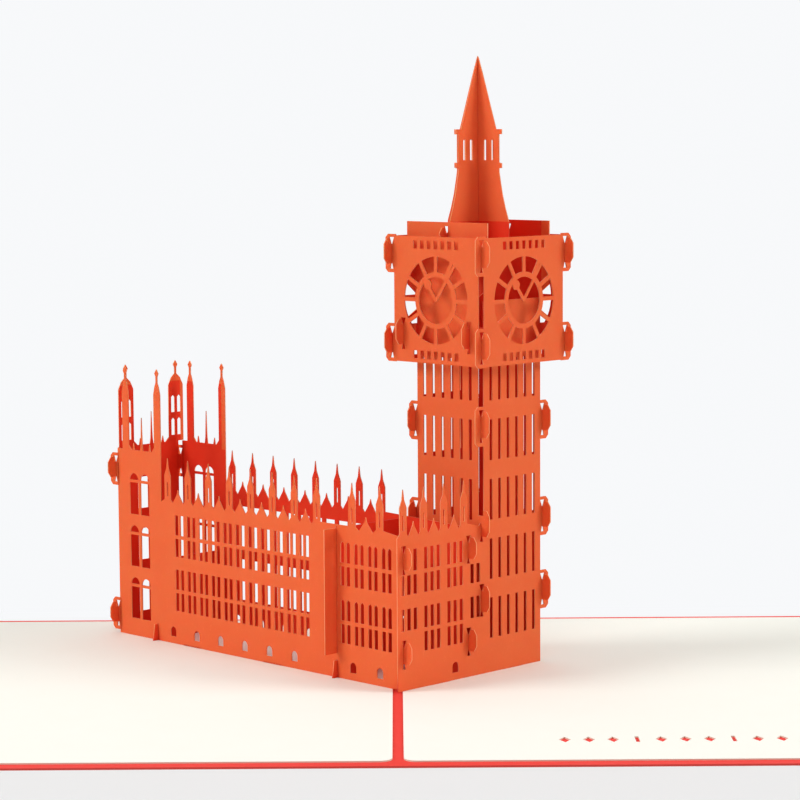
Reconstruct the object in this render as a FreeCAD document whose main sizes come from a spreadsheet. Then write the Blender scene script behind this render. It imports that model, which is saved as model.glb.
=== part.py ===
import FreeCAD, Part
import math
import os

# Pop up card, opened flat, with a laser cut paper hall, corner tower and clock tower standing on it.
# Millimetres. X runs across the open card, Y away from the reader along the spine, Z up.
# The origin is the middle of the spine, on the table.
#
# The building is a lattice of flat sheets. The long sheets lean away to the left of the spine and
# the cross sheets to the right of it, both at 45 degrees, so that the lattice shears flat when the
# card is shut. A point of the lattice has two coordinates: "along" the long sheets and "across"
# them, both measured from the front corner of the hall.

SIZES = [
    # Card
    ("leaf_width", 150.0, "width of one half of the cover, from the spine"),
    ("card_depth", 150.0, "length of the spine"),
    ("cover_thick", 0.4, "thickness of the cover card"),
    ("cover_corner", 1.2, "corner radius of the cover"),
    ("page_thick", 0.3, "thickness of the inner pages"),
    ("page_margin", 3.0, "cover left showing round a page"),
    ("page_corner", 2.6, "corner radius of a page"),
    ("spine_gap", 2.2, "cover left showing along the spine"),
    # Ornament cut in the right page
    ("motif_start", 33.0, "first motif from the spine"),
    ("motif_end", 110.0, "last motif from the spine"),
    ("motif_pitch", 4.8, "step from motif to motif"),
    ("motif_front", 19.5, "middle of the row from the front edge of the card"),
    ("motif_high", 4.6, "length of a motif"),
    ("motif_wide", 2.4, "width of a motif"),
    # Lattice
    ("paper", 0.3, "thickness of the building's paper"),
    ("slip", 0.1, "clearance on each side of a sheet in its slit"),
    ("corner_setback", 63.7, "front corner of the hall from the front edge of the card"),
    ("edge_gap", 0.8, "from the edge of a sheet to the plane of the sheet that it meets"),
    ("ear_reach", 1.5, "from the plane of a hooked sheet to the end of the ear that holds it"),
    ("hook_reach", 2.5, "from the plane of a slit to the tip of the hook that it holds"),
    ("hook_lip", 1.2, "rise of a hook past the end of its slit"),
    ("foot_height", 3.9, "height of a foot lug above the page"),
    ("foot_reach", 1.6, "from the plane of a sheet to the tip of a foot lug"),
    ("tab_length", 6.0, "length of a tab that passes through a page"),
    ("near_tab", 42.0, "first tab of the front and back walls, along"),
    ("far_tab", 70.0, "second tab of the front and back walls, along"),
    ("gable_tab", 13.0, "first tab of the right wall, across"),
    # Hall
    ("front_wall", 1.9, "front wall, across"),
    ("back_wall", 22.2, "back wall, across"),
    ("end_wall", 97.2, "end wall, along"),
    ("cross_wall", 20.2, "cross wall behind the front bay, along"),
    ("low_wall", 82.4, "low wall under the corner tower, along"),
    ("cross_reach", 3.2, "reach of the cross wall past the front wall"),
    ("cross_lap", 20.0, "height of the half lap of front wall and cross wall"),
    ("tongue_base", 5.0, "height of the lower edge of the cross wall's tongue"),
    ("low_wall_top", 20.0, "height of the low wall"),
    ("eaves", 34.1, "height of the wall between the pinnacles"),
    ("pinnacle_top", 44.6, "height of a pinnacle"),
    ("gable_top", 37.4, "height of the small gable between two pinnacles"),
    ("pinnacle_pitch", 7.3, "step from pinnacle to pinnacle"),
    ("pinnacle_wide", 2.1, "width of a pinnacle's cap"),
    ("light_wide", 0.95, "width of one light of a window"),
    ("light_pitch", 1.85, "step between the lights of a window"),
    ("window_pitch", 4.3, "step between windows of the front and back walls"),
    ("upper_sill", 21.2, "sill of the upper storey"),
    ("lower_sill", 7.8, "sill of the lower storey"),
    ("transom", 4.0, "height of a light below the transom"),
    ("window_bar", 0.8, "width of the paper bar between two openings of one window"),
    ("lancet", 4.8, "height of a light above the transom"),
    ("vent_wide", 2.0, "width of a basement arch"),
    ("vent_high", 2.9, "height of a basement arch"),
    ("vent_sill", 1.9, "sill of a basement arch"),
    ("vent_pitch", 8.4, "step from arch to arch"),
    ("bay_middle", 11.4, "middle of the front bay's windows and pinnacles, along"),
    ("hall_middle", 52.5, "middle of the hall's windows and pinnacles, along"),
    ("vent_middle", 55.6, "middle of the hall's basement arches, along"),
    ("gable_first", 3.5, "middle of the right wall's first window, across"),
    ("gable_crest", 11.3, "middle of the right wall's pinnacles, across"),
    ("bay_pitch", 8.6, "step from pinnacle to pinnacle in the front bay"),
    ("gable_pinnacle_pitch", 6.3, "step from pinnacle to pinnacle on the right wall"),
    ("gable_window_pitch", 7.2, "step between the windows of the right wall"),
    ("gable_light_pitch", 1.95, "step between the lights of a window of the right wall"),
    # Corner tower
    ("turret_place", 82.0, "right turret of the corner tower's broad sides, along"),
    ("turret_spacing", 11.0, "step between those turrets"),
    ("turret_wide", 2.3, "width of such a turret"),
    ("side_turret_wide", 5.2, "width of a turret of the end wall"),
    ("side_turret_front", 5.8, "front turret of the end wall, across"),
    ("side_turret_back", 20.8, "back turret of the end wall, across"),
    ("turret_cap", 60.4, "height at which a turret's cap begins"),
    ("turret_top", 65.4, "height of a turret's finial"),
    ("tower_roof", 46.0, "height of the corner tower between its turrets"),
    ("needle_top", 53.5, "height of the needle between the turrets"),
    ("merlon", 1.6, "rise of a merlon at the foot of the needle"),
    ("turret_sill", 1.5, "lower lights of a side turret, above the roof line"),
    ("turret_light", 4.3, "height of a light of a side turret"),
    ("turret_storey", 5.6, "step between the lights of a side turret"),
    ("arch_wide", 3.2, "width of a tall arched light"),
    ("arch_storey", 12.6, "step between the arched storeys"),
    ("arch_sill", 4.9, "sill of the lowest arched light"),
    ("arch_high", 10.4, "height of an arched light with its head"),
    # Clock tower
    ("tower_front", 26.4, "left wall of the clock tower, across"),
    ("tower_wide", 20.2, "distance between opposite walls of the clock tower"),
    ("slot_wide", 0.95, "width of a tower slot"),
    ("slot_pitch", 3.0, "step from slot to slot"),
    ("slot_high", 9.1, "length of a tower slot"),
    ("slot_base", 8.4, "height of the lowest slots"),
    ("slot_storey", 13.3, "step between the rows of slots"),
    ("dial_centre", 83.8, "height of the middle of a dial"),
    ("dial_out", 3.6, "distance of a dial sheet from the tower wall behind it"),
    ("dial_high", 29.2, "height of a dial sheet"),
    ("ring_outer", 10.5, "outer radius of the ring of openings"),
    ("ring_inner", 6.6, "inner radius of the ring of openings"),
    ("dial_eye", 5.6, "radius of the opening inside the ring"),
    ("spoke", 0.9, "width of a spoke of the ring"),
    ("hand", 0.7, "width of a clock hand"),
    ("hand_lean", 36.0, "angle of a clock hand from upright, in degrees"),
    ("dentil", 1.2, "width of a small square opening"),
    ("dentil_high", 1.8, "height of a small square opening"),
    ("dentil_pitch", 2.3, "step between the small square openings"),
    ("dentil_edge", 2.3, "middle of that row from the edge of the dial sheet"),
    ("head_top", 101.8, "height of the tower walls behind the dials"),
    # Spire
    ("lantern_half", 6.4, "half width of the lantern"),
    ("lantern_base", 114.0, "height of the foot of the lantern"),
    ("lantern_high", 8.6, "height of the lantern"),
    ("spire_top", 138.5, "height of the tip"),
    ("spire_hollow", 0.45, "how far the taper under the lantern is hollowed"),
    ("spire_foot", 94.0, "lower edge of the spire sheets"),
    ("spire_lap", 112.0, "height of the half lap of the two spire sheets"),
    # Joints
    ("hall_joint_low", 6.6, "foot of the lower hooks of the hall"),
    ("hall_joint_high", 27.2, "foot of the upper hooks of the hall"),
    ("hall_hook", 3.6, "height of a hook's neck at the hall"),
    ("end_joint_low", 3.4, "foot of the lower hooks of the end wall"),
    ("end_joint_high", 38.6, "foot of the upper hooks of the end wall"),
    ("tower_joint_low", 14.8, "foot of the lowest hooks of the clock tower"),
    ("tower_joint_mid", 31.6, "foot of the middle hooks of the clock tower"),
    ("tower_joint_high", 53.6, "foot of the highest hooks of the clock tower"),
    ("tower_hook", 4.6, "height of a hook's neck at the clock tower"),
    ("dial_joint", 10.0, "middle of a corner hook of the dials from the dial's centre"),
    ("dial_hook", 4.4, "height of such a hook's neck"),
    ("dial_tie", 7.9, "middle of a hook through a dial sheet, below the dial's centre"),
    ("spire_tie", 97.6, "foot of the hooks of the spire through the tower walls"),
    ("spire_hook", 2.0, "height of such a hook's neck"),
]

doc = FreeCAD.newDocument("PopUpCard")
sheet = doc.addObject("Spreadsheet::Sheet", "Sizes")
for row, (alias, number, meaning) in enumerate(SIZES, start=1):
    sheet.set("A%d" % row, alias)
    sheet.set("B%d" % row, "%g" % number)
    sheet.set("C%d" % row, meaning)
    sheet.setAlias("B%d" % row, alias)
doc.recompute()


def size(alias):
    """The number in the cell of that name."""
    return float(sheet.get(alias))


# Sizes that the drawings of the sheets share
paper = size("paper")
slit = paper + 2 * size("slip")
edge_gap = size("edge_gap")
page_top = size("cover_thick") + size("page_thick")
eaves = size("eaves")
front_wall = size("front_wall")
back_wall = size("back_wall")
end_wall = size("end_wall")
cross_wall = size("cross_wall")
low_wall = size("low_wall")
tower_front = size("tower_front")
tower_back = tower_front + size("tower_wide")
tower_side = size("tower_wide")
tower_mid_across = tower_front + size("tower_wide") / 2
tower_mid_along = size("tower_wide") / 2
dial_out = size("dial_out")
dial_centre = size("dial_centre")
dial_foot = dial_centre - size("dial_high") / 2
dial_head = dial_centre + size("dial_high") / 2
hook_rise = size("hook_lip")

# Foot and height of the neck of each hook, grouped by the sheets that share them
HALL_HOOKS = [
    (size("hall_joint_low"), size("hall_hook")),
    (size("hall_joint_high"), size("hall_hook")),
]
END_HOOKS = [
    (size("end_joint_low"), size("hall_hook")),
    (size("end_joint_high"), size("hall_hook")),
]
TOWER_HOOKS = [
    (size("tower_joint_low"), size("tower_hook")),
    (size("tower_joint_mid"), size("tower_hook")),
    (size("tower_joint_high"), size("tower_hook")),
]
DIAL_HOOKS = [
    (dial_centre - size("dial_joint") - size("dial_hook") / 2, size("dial_hook")),
    (dial_centre + size("dial_joint") - size("dial_hook") / 2, size("dial_hook")),
]
DIAL_TIES = [(dial_centre - size("dial_tie") - size("dial_hook") / 2, size("dial_hook"))]
SPIRE_HOOKS = [(size("spire_tie"), size("spire_hook"))]


def flat(u, v):
    return FreeCAD.Vector(u, v, 0)


def outline(points):
    """Straight cuts from point to point, closed."""
    ring = points[1:] + points[:1]
    return [Part.LineSegment(flat(*p), flat(*q)) for p, q in zip(points, ring)]


def rectangle(u0, v0, u1, v1):
    return outline([(u0, v0), (u1, v0), (u1, v1), (u0, v1)])


def lancet_light(u, v0, v1, wide):
    """A narrow light with a pointed head."""
    half = wide / 2
    return outline([(u - half, v0), (u + half, v0), (u + half, v1 - half), (u, v1), (u - half, v1 - half)])


def arch_head(u, spring, half, facets):
    """Corners of a half round head, cut as short facets from right to left."""
    turns = [math.pi * k / facets for k in range(facets + 1)]
    return [(u + half * math.cos(a), spring + half * math.sin(a)) for a in turns]


def round_arch(u, v0, v1, wide):
    """An opening with a flat sill and a half round head."""
    half = wide / 2
    return outline([(u - half, v0), (u + half, v0)] + arch_head(u, v1 - half, half, 3))


def half_round(u, v0, wide):
    """The head of an arch by itself, above its transom."""
    return outline(arch_head(u, v0, wide / 2, 5))


def many_sided(u, v, radius, sides):
    """A round opening, cut as a regular figure."""
    turns = [2 * math.pi * k / sides for k in range(sides)]
    return outline([(u + radius * math.cos(a), v + radius * math.sin(a)) for a in turns])


def steps(first, last, pitch):
    """Places from first towards last, as many as fit, centred between the two."""
    count = int((last - first) / pitch + 1e-6) + 1
    start = (first + last - (count - 1) * pitch) / 2
    return [start + k * pitch for k in range(count)]


def centred(middle, pitch, count):
    return [middle + (k - (count - 1) / 2) * pitch for k in range(count)]


def draw(body, name, role, lines):
    """A sketch of closed cuts on the upright (XZ_Plane) or level (XY_Plane) plane of the body."""
    sketch = body.newObject("Sketcher::SketchObject", name)
    plane = [f for f in body.Origin.OriginFeatures if f.Role == role][0]
    sketch.AttachmentSupport = [(plane, "")]
    sketch.MapMode = "FlatFace"
    sketch.addGeometry(lines)
    return sketch


def patch(profile):
    """The area inside one closed profile."""
    return Part.Face(Part.Wire([line.toShape() for line in profile]))


def cutting_pattern(solid, openings, over=()):
    """All cuts of one sheet, as a laser follows them.

    Args:
        solid: Outline of the sheet, and the hooks, ears and tabs that reach past it.
        openings: What is cut away from them.
        over: What crosses the openings and stays.
    """
    plate = patch(solid[0])
    if solid[1:]:
        plate = plate.fuse([patch(p) for p in solid[1:]])
    holes = [patch(p) for p in openings]
    if over:
        bars = [patch(p) for p in over]
        holes = [part for hole in holes for part in hole.cut(bars).Faces]
    if holes:
        plate = plate.cut(holes)
    edges = plate.removeSplitter().Edges
    return [Part.LineSegment(e.Vertexes[0].Point, e.Vertexes[-1].Point) for e in edges]


def paper_sheet(body, solid, openings, over=()):
    """Stands a sheet in the body's upright plane, half its thickness to each side."""
    pad = body.newObject("PartDesign::Pad", body.Label + "_sheet")
    pad.Profile = draw(body, body.Label + "_cuts", "XZ_Plane", cutting_pattern(solid, openings, over))
    pad.SideType = "Symmetric"
    pad.Refine = False
    pad.setExpression("Length", "Sizes.paper")
    body.Tip = pad
    return pad


LONG = {"angle": 135, "x": "cos(45 deg)", "y": "sin(45 deg)"}
CROSS = {"angle": 45, "x": "-cos(45 deg)", "y": "sin(45 deg)"}


def lattice_sheet(label, family, place):
    """An empty body on the plane that stands at that place of the lattice.

    Args:
        label: Name of the sheet.
        family: LONG for a sheet that runs along the lattice, CROSS for one that runs across it.
        place: Expression for the sheet's distance from the front corner.
    """
    body = doc.addObject("PartDesign::Body", label)
    body.Label = label
    turn = FreeCAD.Rotation(FreeCAD.Vector(0, 0, 1), family["angle"])
    body.Placement = FreeCAD.Placement(FreeCAD.Vector(0, 0, 0), turn)
    corner = "Sizes.corner_setback - Sizes.card_depth / 2"
    body.setExpression("Placement.Base.x", "(%s) * %s" % (place, family["x"]))
    body.setExpression("Placement.Base.y", "%s + (%s) * %s" % (corner, place, family["y"]))
    return body


def hook(plane, side, foot, height):
    """A hook that leaves its wall, passes the plane of a slit and turns up behind it.

    Args:
        plane: Where the slit's sheet stands.
        side: 1 when the hook points towards growing values, -1 when it points back.
        foot: Lower edge of the neck.
        height: Height of the neck.
    """
    root = plane - side * (edge_gap + slit)
    face = plane + side * slit / 2
    tip = plane + side * size("hook_reach")
    top = foot + height
    crest = top + hook_rise
    notch = face + side * slit
    bevel = side * slit * 1.6
    points = [(root, foot), (tip - bevel, foot), (tip, foot + hook_rise), (tip, top)]
    points += [(tip - bevel, crest), (notch, crest), (notch, top), (root, top)]
    return outline(points if side > 0 else points[::-1])


def hook_slit(plane, foot, height):
    """The slit for such a hook, long enough to let its lip through."""
    return rectangle(plane - slit / 2, foot - hook_rise, plane + slit / 2, foot + height + size("slip"))


def ear(plane, side, foot, height):
    """The part of a sheet that reaches past the plane of the sheet hooked to it."""
    root = plane - side * (edge_gap + slit)
    tip = plane + side * size("ear_reach")
    low = foot - 2 * hook_rise
    high = foot + height + hook_rise
    bevel = side * slit
    points = [(root, low), (tip - bevel, low), (tip, low + slit), (tip, high - slit), (tip - bevel, high)]
    points += [(root, high)]
    return outline(points if side > 0 else points[::-1])


def hooks(plane, side, joints):
    return [hook(plane, side, foot, height) for foot, height in joints]


def hook_slits(plane, joints):
    return [hook_slit(plane, foot, height) for foot, height in joints]


def ears(plane, side, joints):
    return [ear(plane, side, foot, height) for foot, height in joints]


def foot_lug(plane, side):
    """A lug at the base that passes the plane of another sheet."""
    root = plane - side * (edge_gap + slit)
    tip = plane + side * size("foot_reach")
    top = page_top + size("foot_height")
    points = [(root, page_top), (tip, page_top), (tip - side * slit, top), (root, top)]
    return outline(points if side > 0 else points[::-1])


def foot_notch(plane):
    """The notch, open below, that lets a foot lug through."""
    top = page_top + size("foot_height") + size("slip")
    return rectangle(plane - slit / 2, page_top - slit, plane + slit / 2, top)


def page_tabs(middles):
    """Tabs that reach down through a page to the cover."""
    half = size("tab_length") / 2
    return [rectangle(u - half, size("cover_thick"), u + half, page_top + paper) for u in middles]


# Where each wall is held by tabs through a page, as places along the wall
TABS = {
    "front_wall": (LONG, front_wall, [size("near_tab"), size("far_tab")]),
    "back_wall": (LONG, back_wall, [size("near_tab"), size("far_tab")]),
    "right_wall": (CROSS, 0, [size("gable_tab"), tower_mid_across]),
    "tower_left_wall": (LONG, tower_front, [tower_mid_along]),
    "tower_back_wall": (LONG, tower_back, [tower_mid_along]),
    "tower_far_wall": (CROSS, tower_side, [tower_mid_across]),
    "end_wall": (CROSS, end_wall, [(front_wall + back_wall) / 2]),
}


def crest(places, pitch):
    """Top edge of a wall: a pinnacle at each place, with a small gable between each two."""
    half = size("pinnacle_wide") / 2
    rise = size("pinnacle_top") - eaves
    gable_rise = size("gable_top") - eaves
    points = []
    for k, u in enumerate(places):
        left = [(u - half, eaves + rise * 0.08), (u - half, eaves + rise * 0.62)]
        left += [(u - half * 0.3, eaves + rise * 0.78)]
        right = [(2 * u - p, v) for p, v in reversed(left)]
        points += left + [(u, eaves + rise)] + right
        if k + 1 < len(places):
            g = u + pitch / 2
            points += [(g - pitch / 4, eaves), (g - half * 0.25, eaves + gable_rise * 0.7)]
            points += [(g, eaves + gable_rise)]
            points += [(g + half * 0.25, eaves + gable_rise * 0.7), (g + pitch / 4, eaves)]
    return points


def crest_slots(places):
    """The narrow slot in the shaft of each pinnacle."""
    half = size("pinnacle_wide") / 2
    rise = size("pinnacle_top") - eaves
    low, high = eaves + rise * 0.14, eaves + rise * 0.46
    return [rectangle(u - half * 0.26, low, u + half * 0.26, high) for u in places]


def storey(places, count, pitch, sill, pointed):
    """Windows of one storey: each a row of lights, cut above and below a transom."""
    openings = []
    wide = size("light_wide")
    half = wide / 2
    bar_top = sill + size("transom") + size("window_bar")
    head = bar_top + size("lancet")
    for middle in places:
        for u in centred(middle, pitch, count):
            openings.append(rectangle(u - half, sill, u + half, sill + size("transom")))
            if pointed:
                openings.append(lancet_light(u, bar_top, head, wide))
            else:
                openings.append(rectangle(u - half, bar_top, u + half, head))
    return openings


def plain_storey(places, count, pitch, sill):
    """Windows of one storey without a transom."""
    half = size("light_wide") / 2
    head = sill + size("transom") + size("window_bar") + size("lancet")
    lights = []
    for middle in places:
        lights += [rectangle(u - half, sill, u + half, head) for u in centred(middle, pitch, count)]
    return lights


def storeys(places, count, pitch, pointed):
    upper = storey(places, count, pitch, size("upper_sill"), pointed)
    return upper + storey(places, count, pitch, size("lower_sill"), pointed)


def vents(places):
    sill = size("vent_sill")
    return [round_arch(u, sill, sill + size("vent_high"), size("vent_wide")) for u in places]


def turret(u, wide, shoulder):
    """Top edge over a turret, from its left side to its right."""
    half = wide / 2
    cap, top = size("turret_cap"), size("turret_top")
    rise = top - cap
    left = [(u - half, shoulder), (u - half, cap - rise * 0.5), (u - half * 1.15, cap - rise * 0.35)]
    left += [(u - half * 1.15, cap - rise * 0.15), (u - slit * 0.5, cap + rise * 0.3)]
    left += [(u - slit * 0.5, cap + rise * 0.6), (u - slit * 1.1, cap + rise * 0.74)]
    right = [(2 * u - p, v) for p, v in reversed(left)]
    return left + [(u, top)] + right


def tower_roof_edge(first, last):
    """Top edge between two turrets: small merlons at both sides of a thin needle."""
    roof, needle = size("tower_roof"), size("needle_top")
    middle = (first + last) / 2
    gap = (last - first) / 2
    rise = size("merlon")
    left = [(first, roof + rise * 0.7), (first + gap * 0.2, roof), (first + gap * 0.3, roof)]
    left += [(first + gap * 0.36, roof + rise), (first + gap * 0.44, roof), (middle - slit, roof)]
    left += [(middle - slit / 2, roof + rise)]
    right = [(2 * middle - p, v) for p, v in reversed(left)]
    return left + [(middle, needle)] + right


def arched_windows(middle):
    """Three storeys of paired arched lights, each with a transom under its head."""
    wide = size("arch_wide")
    half = wide / 2
    openings = []
    for level in range(3):
        sill = size("arch_sill") + level * size("arch_storey")
        spring = sill + size("arch_high") - half
        for u in centred(middle, wide + size("window_bar"), 2):
            openings.append(rectangle(u - half, sill, u + half, spring - size("window_bar") * 1.4))
            openings.append(half_round(u, spring - size("window_bar") * 0.6, wide))
    return openings


def long_wall(label, near, flat, slits):
    """A long wall of the hall, with a broad side of the corner tower at its far end.

    Args:
        label: Name of the wall and of the size that places it.
        near: Where the wall starts, along.
        flat: True where the wall has no pinnacles in front of the cross wall.
        slits: Its own slits and notches, besides those that both long walls have.
    """
    body = lattice_sheet(label, LONG, "Sizes." + label)
    far = end_wall - edge_gap
    half = size("turret_wide") / 2
    right, left = size("turret_place"), size("turret_place") + size("turret_spacing")
    bay_crest = centred(size("bay_middle"), size("bay_pitch"), 2)
    reach = min(size("hall_middle") - cross_wall, right - half - size("hall_middle"))
    count = 2 * int((reach - size("pinnacle_pitch") / 4) / size("pinnacle_pitch"))
    hall_crest = centred(size("hall_middle"), size("pinnacle_pitch"), count)
    top = [(near, eaves)]
    if not flat:
        top += crest(bay_crest, size("bay_pitch"))
    top += crest(hall_crest, size("pinnacle_pitch")) + [(right - half, eaves)]
    top += turret(right, size("turret_wide"), size("tower_roof"))
    top += tower_roof_edge(right + half, left - half)
    top += turret(left, size("turret_wide"), size("tower_roof"))
    top += [(far, size("tower_roof"))]
    wall = [outline([(near, page_top)] + top + [(far, page_top)])]
    count = 2 * int((reach - size("window_pitch") / 2) / size("window_pitch")) + 1
    hall = centred(size("hall_middle"), size("window_pitch"), count)
    openings = arched_windows((right - half + far) / 2) + crest_slots(hall_crest)
    openings += vents(centred(size("vent_middle"), size("vent_pitch"), 6))
    if flat:
        openings += plain_storey(hall, 2, size("light_pitch"), size("upper_sill"))
        openings += plain_storey(hall, 2, size("light_pitch"), size("lower_sill"))
    else:
        bay = centred(size("bay_middle"), size("window_pitch"), 4)
        openings += storeys(bay, 2, size("light_pitch"), True) + crest_slots(bay_crest)
        openings += storeys(hall, 2, size("light_pitch"), False)
        openings += vents(centred(size("bay_middle"), size("vent_pitch"), 2))
    joints = hooks(0, -1, HALL_HOOKS) + ears(end_wall, 1, END_HOOKS) + page_tabs(TABS[label][2])
    slits += [foot_notch(low_wall)] + hook_slits(end_wall, END_HOOKS)
    paper_sheet(body, wall + joints, openings + slits)


# Storeys of the clock tower below its dials, and slots in a row
STOREYS = 5
SLOTS = 6

# Front wall of the hall, halved with the cross wall
lap = rectangle(cross_wall - slit / 2, size("cross_lap"), cross_wall + slit / 2, eaves + slit)
long_wall("front_wall", slit / 2, False, [lap, foot_notch(cross_wall)])

# Back wall of the hall
long_wall("back_wall", edge_gap, True, hook_slits(cross_wall, HALL_HOOKS[:1]))


def tower_slots(middle, first_level):
    """Rows of long slots, one row to a storey.

    Args:
        middle: Middle of the wall.
        first_level: Lowest storey that has slots, counted from the page.
    """
    openings = []
    half, high = size("slot_wide") / 2, size("slot_high")
    for level in range(first_level, STOREYS):
        base = size("slot_base") + level * size("slot_storey")
        for u in centred(middle, size("slot_pitch"), SLOTS):
            openings.append(rectangle(u - half, base, u + half, base + high))
    return openings


def tie(wall_edge, plane, side, foot, height):
    """An arm that leaves a tower wall and hooks through the dial sheet in front of it."""
    root = wall_edge - side * slit
    face = plane + side * slit / 2
    tip = plane + side * size("hook_reach")
    top = foot + height
    crest_height = top + hook_rise
    notch = face + side * slit
    bevel = side * slit * 1.6
    points = [(root, foot), (tip - bevel, foot), (tip, foot + hook_rise), (tip, top)]
    points += [(tip - bevel, crest_height), (notch, crest_height), (notch, top), (root, top)]
    return outline(points if side > 0 else points[::-1])


def ties(first, last, joints):
    """Arms at both edges of a tower wall, each with its hook."""
    arms = []
    for edge, side in ((first, -1), (last, 1)):
        plane = edge + side * (dial_out + edge_gap)
        arms += [tie(edge, plane, side, foot, height) for foot, height in joints]
    return arms


# Right wall: the gable side of the hall and the right side of the clock tower in one sheet
right = lattice_sheet("right_wall", CROSS, "0")
edge = tower_front + edge_gap
right_crest = centred(size("gable_crest"), size("gable_pinnacle_pitch"), 4)
top = [(0, eaves)] + crest(right_crest, size("gable_pinnacle_pitch"))
top += [(tower_front - edge_gap, eaves), (edge, eaves + edge_gap * 2), (edge, dial_centre)]
top += [(tower_back - edge_gap, dial_centre), (tower_back - edge_gap, page_top)]


wall = [outline([(0, page_top)] + top)]
groups = [size("gable_first") + k * size("gable_window_pitch") for k in range(3)]
openings = storeys(groups, 3, size("gable_light_pitch"), False)
openings += storeys([(back_wall + tower_front) / 2], 2, size("gable_light_pitch"), False)
openings += crest_slots(right_crest) + vents([groups[2]])
openings += tower_slots(tower_mid_across, 0)
joints = ears(tower_back, 1, TOWER_HOOKS) + ears(tower_front, -1, TOWER_HOOKS[2:])
joints += ties(tower_front + edge_gap, tower_back - edge_gap, DIAL_TIES) + page_tabs(TABS["right_wall"][2])
slits = hook_slits(front_wall, HALL_HOOKS) + hook_slits(back_wall, HALL_HOOKS)
slits += hook_slits(tower_front, TOWER_HOOKS) + hook_slits(tower_back, TOWER_HOOKS)
paper_sheet(right, wall + joints, openings + slits)


def tower_long_wall(label, place, first_level):
    """A wall of the clock tower that runs along the lattice and carries on above the dials.

    Args:
        label: Name of the wall.
        place: Expression for its distance from the front corner.
        first_level: Lowest storey that has slots.
    """
    body = lattice_sheet(label, LONG, place)
    reach = dial_out - edge_gap
    rest = dial_head - size("dentil_edge")
    low, high = edge_gap, tower_side - edge_gap
    lug = dial_out + size("ear_reach")
    neck = dial_centre + edge_gap
    points = [(low, page_top), (high, page_top), (high, neck), (tower_side + edge_gap, neck + edge_gap)]
    points += [(tower_side + edge_gap, size("head_top")), (-lug, size("head_top")), (-lug, rest)]
    points += [(-reach, rest), (-reach, neck + edge_gap), (low, neck)]
    joints = hooks(0, -1, TOWER_HOOKS) + ears(tower_side, 1, TOWER_HOOKS) + page_tabs(TABS[label][2])
    slits = hook_slits(tower_side, TOWER_HOOKS) + hook_slits(tower_mid_along, SPIRE_HOOKS)
    slots = tower_slots(tower_mid_along, first_level)
    paper_sheet(body, [outline(points)] + joints, slots + slits)


# The hall's back wall hides the left wall's two lowest storeys, so these have no slots
tower_long_wall("tower_left_wall", "Sizes.tower_front", 2)
tower_long_wall("tower_back_wall", "Sizes.tower_front + Sizes.tower_wide", 0)

# Far wall of the clock tower, hooked through both long walls
far_wall = lattice_sheet("tower_far_wall", CROSS, "Sizes.tower_wide")
low, high = tower_front + edge_gap, tower_back - edge_gap
plate = [rectangle(low, page_top, high, dial_centre)]
joints = hooks(tower_front, -1, TOWER_HOOKS) + hooks(tower_back, 1, TOWER_HOOKS)
joints += ties(low, high, DIAL_TIES) + page_tabs(TABS["tower_far_wall"][2])
paper_sheet(far_wall, plate + joints, tower_slots(tower_mid_across, 0))


HOURS = 12
EYE_SIDES = 16
DENTILS = 7


def ring_openings(u, v):
    """The twelve openings of a dial's ring, each between two spokes."""
    outer, inner, spoke = size("ring_outer"), size("ring_inner"), size("spoke") / 2
    openings = []
    for k in range(HOURS):
        first, last = 2 * math.pi * k / HOURS, 2 * math.pi * (k + 1) / HOURS
        swing_out = math.asin(spoke / outer)
        swing_in = math.asin(spoke / inner)
        turns = [(outer, first + swing_out), (outer, last - swing_out)]
        turns += [(inner, last - swing_in), (inner, first + swing_in)]
        openings.append(outline([(u + r * math.cos(a), v + r * math.sin(a)) for r, a in turns]))
    return openings


def clock_hand(u, v, degrees, length, spade):
    """A straight hand from the middle of the dial, with a spade near its end if it has one."""
    half = size("hand") / 2
    reach = [(half, 0), (half, length), (-half, length), (-half, 0), (0, -half)]
    if spade:
        wide = size("dial_eye") * 0.2
        at = length * 0.55
        reach = [(half, 0), (half, at), (wide, at + wide * 0.6), (wide, at + wide * 1.4), (half, length)]
        reach += [(-half, length), (-wide, at + wide * 1.4), (-wide, at + wide * 0.6), (-half, at), (-half, 0)]
        reach += [(0, -half)]
    lean = math.radians(-degrees)
    turned = []
    for p, q in reach:
        turned.append((u + p * math.cos(lean) - q * math.sin(lean), v + p * math.sin(lean) + q * math.cos(lean)))
    return outline(turned)


def dentils(u, v):
    """A row of small upright openings."""
    wide, high = size("dentil") / 2, size("dentil_high") / 2
    places = centred(u, size("dentil_pitch"), DENTILS)
    return [rectangle(p - wide, v - high, p + wide, v + high) for p in places]


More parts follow.
